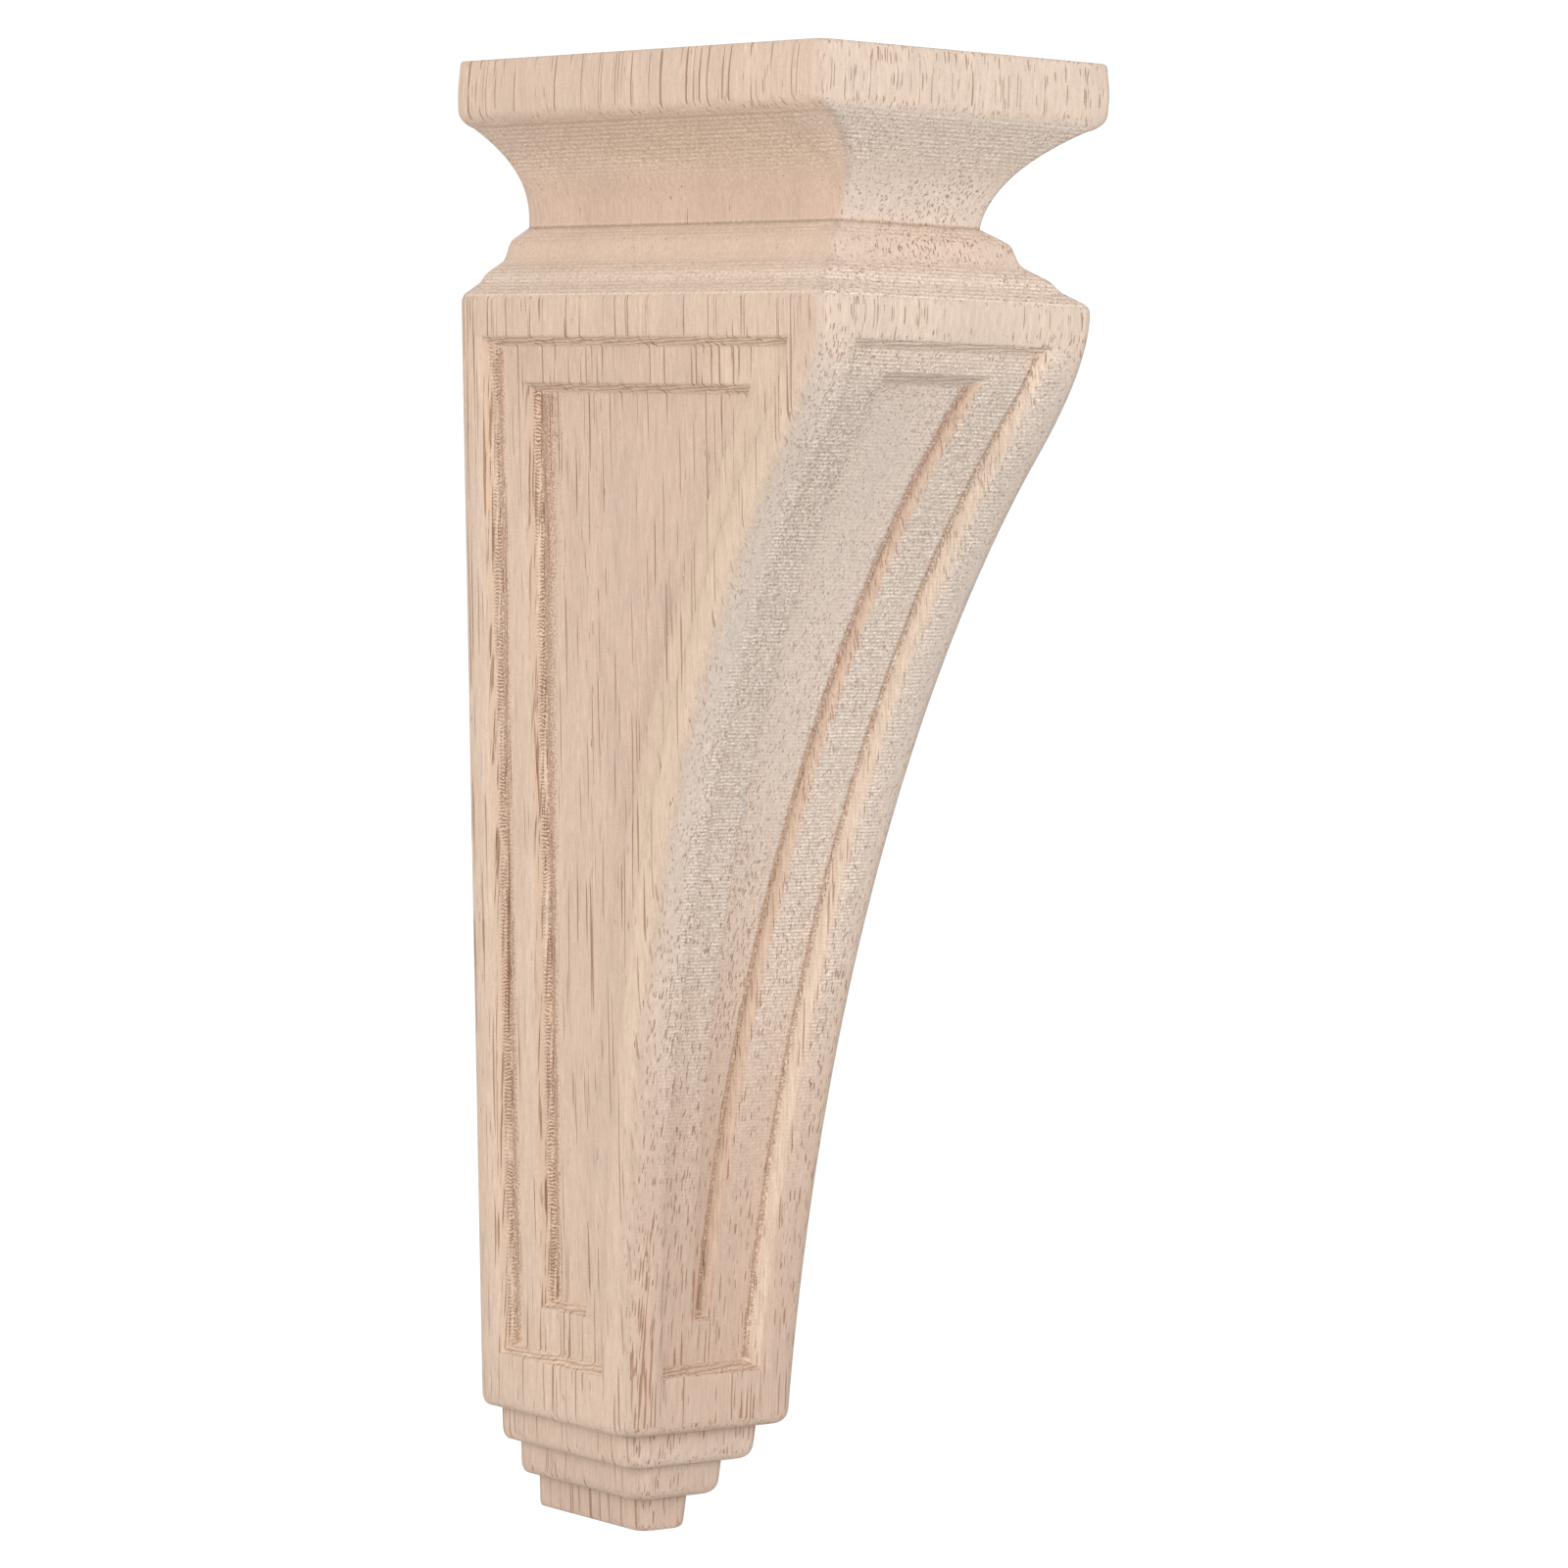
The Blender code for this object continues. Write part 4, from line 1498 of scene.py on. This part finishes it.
    def _rungs(self, grain: Grain) -> Signal:
        """Draws short level ticks like the rungs of a ladder, where the cutter tore across the fibres.

        Args:
            grain: The shared patterns.

        Returns:
            1 in a tick and 0 beside it, in patches.
        """
        bench = grain.bench
        wander = bench.noise(grain.place, self.rung_wander)
        ticks = bench.wave(grain.z / Carving.ridge_pitch + wander * 2.4) * 0.5 + 0.5
        patch = bench.noise(grain.place, self.rung_patch).rise(*self.rung_patch.shows)
        return (ticks * 0.55 + grain.grit * 0.9 - 0.25).rise(0.30, 0.75) * patch

    def _seams(self, grain: Grain) -> Signal:
        """Draws the long dark seams along the fibres of the rear walls."""
        return grain.bench.noise(grain.fibre, self.seams).rise(*self.seams.shows)


@dataclass(frozen=True)
class Lamp:
    """A soft lamp: its bearing in degrees, how bright it makes a white face, and its colour."""

    name: str
    azimuth: float
    light: float
    tone: Triple


@dataclass(frozen=True)
class Studio:
    """A plain pale floor, soft light from all round and above, and the photograph's camera."""

    floor_drop: float = 0.28
    floor_radius: float = 30.0
    floor_points: int = 96
    floor_tone: float = 0.62
    sky_light: float = 0.64
    lamp_distance: float = 1.15
    lamp_size: float = 0.8
    lamp_elevation: float = 10.0
    lamps: tuple[Lamp, ...] = (
        Lamp("left_lamp", -76.0, 0.50, (1.0, 0.985, 0.97)),
        Lamp("right_lamp", 8.0, 0.47, (1.0, 0.99, 0.985)),
        Lamp("camera_lamp", -32.0, 0.14, (1.0, 0.99, 0.98)))
    white: float = 1.05
    frame_pixels: float = 1600.0
    focal_pixels: float = 5731.4
    sensor: float = 36.0
    azimuth: float = -38.453
    elevation: float = 3.384
    roll: float = 1.708
    distance: float = 1.1646
    shift_pixels: Pair = (85.65, 22.23)
    clip_end: float = 100.0
    target: Triple = (0.0, -0.040, 0.0)

    @staticmethod
    def _bearing(azimuth: float, elevation: float) -> Vector:
        """The direction from the corbel with the given bearing and height, both in degrees."""
        turn, lift = math.radians(azimuth), math.radians(elevation)
        return Vector((math.sin(turn) * math.cos(lift), -math.cos(turn) * math.cos(lift), math.sin(lift)))

    def _floor(self, block: Block) -> bpy.types.Object:
        """Makes the floor, well below the corbel, which hangs on its back.

        Args:
            block: The corbel's box.

        Returns:
            The floor, which is matt to the light and plain white to the camera.
        """
        mesh = bpy.data.meshes.new("floor")
        radius, height = self.floor_radius, block.foot - self.floor_drop
        turns = [math.tau * index / self.floor_points for index in range(self.floor_points)]
        ring = [(radius * math.cos(turn), radius * math.sin(turn), height) for turn in turns]
        mesh.from_pydata(ring, [], [tuple(range(self.floor_points))])
        material = bpy.data.materials.new("floor_white")
        bench = Bench.on(material)
        matt = bench.node("ShaderNodeBsdfDiffuse", {}, {0: (self.floor_tone,) * 3 + (1.0,)})
        white = bench.node("ShaderNodeEmission", {}, {0: (1.0, 1.0, 1.0, 1.0), 1: self.white})
        seen = bench.node("ShaderNodeLightPath").outputs["Is Camera Ray"]
        either = bench.node("ShaderNodeMixShader", {}, {0: seen, 1: matt.outputs[0], 2: white.outputs[0]})
        bench.node("ShaderNodeOutputMaterial", {}, {0: either.outputs[0]})
        mesh.materials.append(material)
        floor = bpy.data.objects.new("floor", mesh)
        bpy.context.scene.collection.objects.link(floor)
        return floor

    def _sky(self) -> None:
        """Lights the scene evenly, and shows plain white behind the corbel."""
        world = bpy.context.scene.world = bpy.data.worlds.new("studio")
        bench = Bench.on(world)
        seen = bench.node("ShaderNodeLightPath").outputs["Is Camera Ray"]
        strength = bench.node("ShaderNodeMapRange", {}, {
            0: seen, 1: 0.0, 2: 1.0, 3: self.sky_light, 4: self.white})
        sky = bench.node("ShaderNodeBackground", {}, {0: (1.0, 1.0, 1.0, 1.0), 1: strength.outputs[0]})
        bench.node("ShaderNodeOutputWorld", {}, {0: sky.outputs[0]})

    def _hang(self, lamp: Lamp) -> None:
        """Hangs one soft lamp that looks at the corbel.

        Args:
            lamp: Its bearing, brightness and colour.
        """
        light = bpy.data.lights.new(lamp.name, "AREA")
        light.energy = lamp.light * (math.pi * self.lamp_distance) ** 2
        light.size = self.lamp_size
        light.color = lamp.tone
        towards = self._bearing(lamp.azimuth, self.lamp_elevation)
        holder = bpy.data.objects.new(lamp.name, light)
        holder.location = Vector(self.target) + towards * self.lamp_distance
        holder.rotation_euler = towards.to_track_quat("Z", "Y").to_euler()
        bpy.context.scene.collection.objects.link(holder)

    def _camera(self) -> None:
        """Sets up the camera at the photograph's viewing angle."""
        back = self._bearing(self.azimuth, self.elevation)
        roll = math.radians(self.roll)
        level = Vector((0.0, 0.0, 1.0)).cross(back).normalized()
        upright = back.cross(level)
        right = math.cos(roll) * level + math.sin(roll) * upright
        up = math.cos(roll) * upright - math.sin(roll) * level
        data = bpy.data.cameras.new("camera")
        data.sensor_fit = "HORIZONTAL"
        data.sensor_width = self.sensor
        data.lens = self.focal_pixels / self.frame_pixels * self.sensor
        data.shift_x, data.shift_y = (shift / self.frame_pixels for shift in self.shift_pixels)
        data.clip_end = self.clip_end
        camera = bpy.data.objects.new("camera", data)
        turned = Matrix((right, up, back)).transposed().to_4x4()
        camera.matrix_world = Matrix.Translation(Vector(self.target) + back * self.distance) @ turned
        bpy.context.scene.collection.objects.link(camera)
        bpy.context.scene.camera = camera

    def build(self, block: Block) -> None:
        """Sets up everything round the corbel.

        A lamp hangs square to each face in view, and a weak one by the camera.

        Args:
            block: The corbel's box.
        """
        self._floor(block)
        self._sky()
        for lamp in self.lamps:
            self._hang(lamp)
        self._camera()
        bpy.context.scene.view_settings.view_transform = "Standard"


def carved_corbel(block: Block) -> bpy.types.Object:
    """Makes the one piece.

    Args:
        block: The corbel's box.

    Returns:
        The finished object, riding and slotted.
    """
    carving = Carving(Profile(block))
    piece = bpy.data.objects.new("carved_corbel", carving.mesh("carved_corbel"))
    bpy.context.scene.collection.objects.link(piece)
    piece = ToolRidges(carving.ridge_pitch).carve(piece, RawHardwood().material())
    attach(piece, "root")
    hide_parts(NODE)
    log.info("%s: %d points, %d faces", piece.name, len(piece.data.vertices), len(piece.data.polygons))
    return piece


def main() -> None:
    """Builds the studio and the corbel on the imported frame."""
    logging.basicConfig(level=logging.INFO, format="%(message)s")
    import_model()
    block = Block.of_node(NODE)
    Studio().build(block)
    carved_corbel(block)


if __name__ == "__main__":
    main()
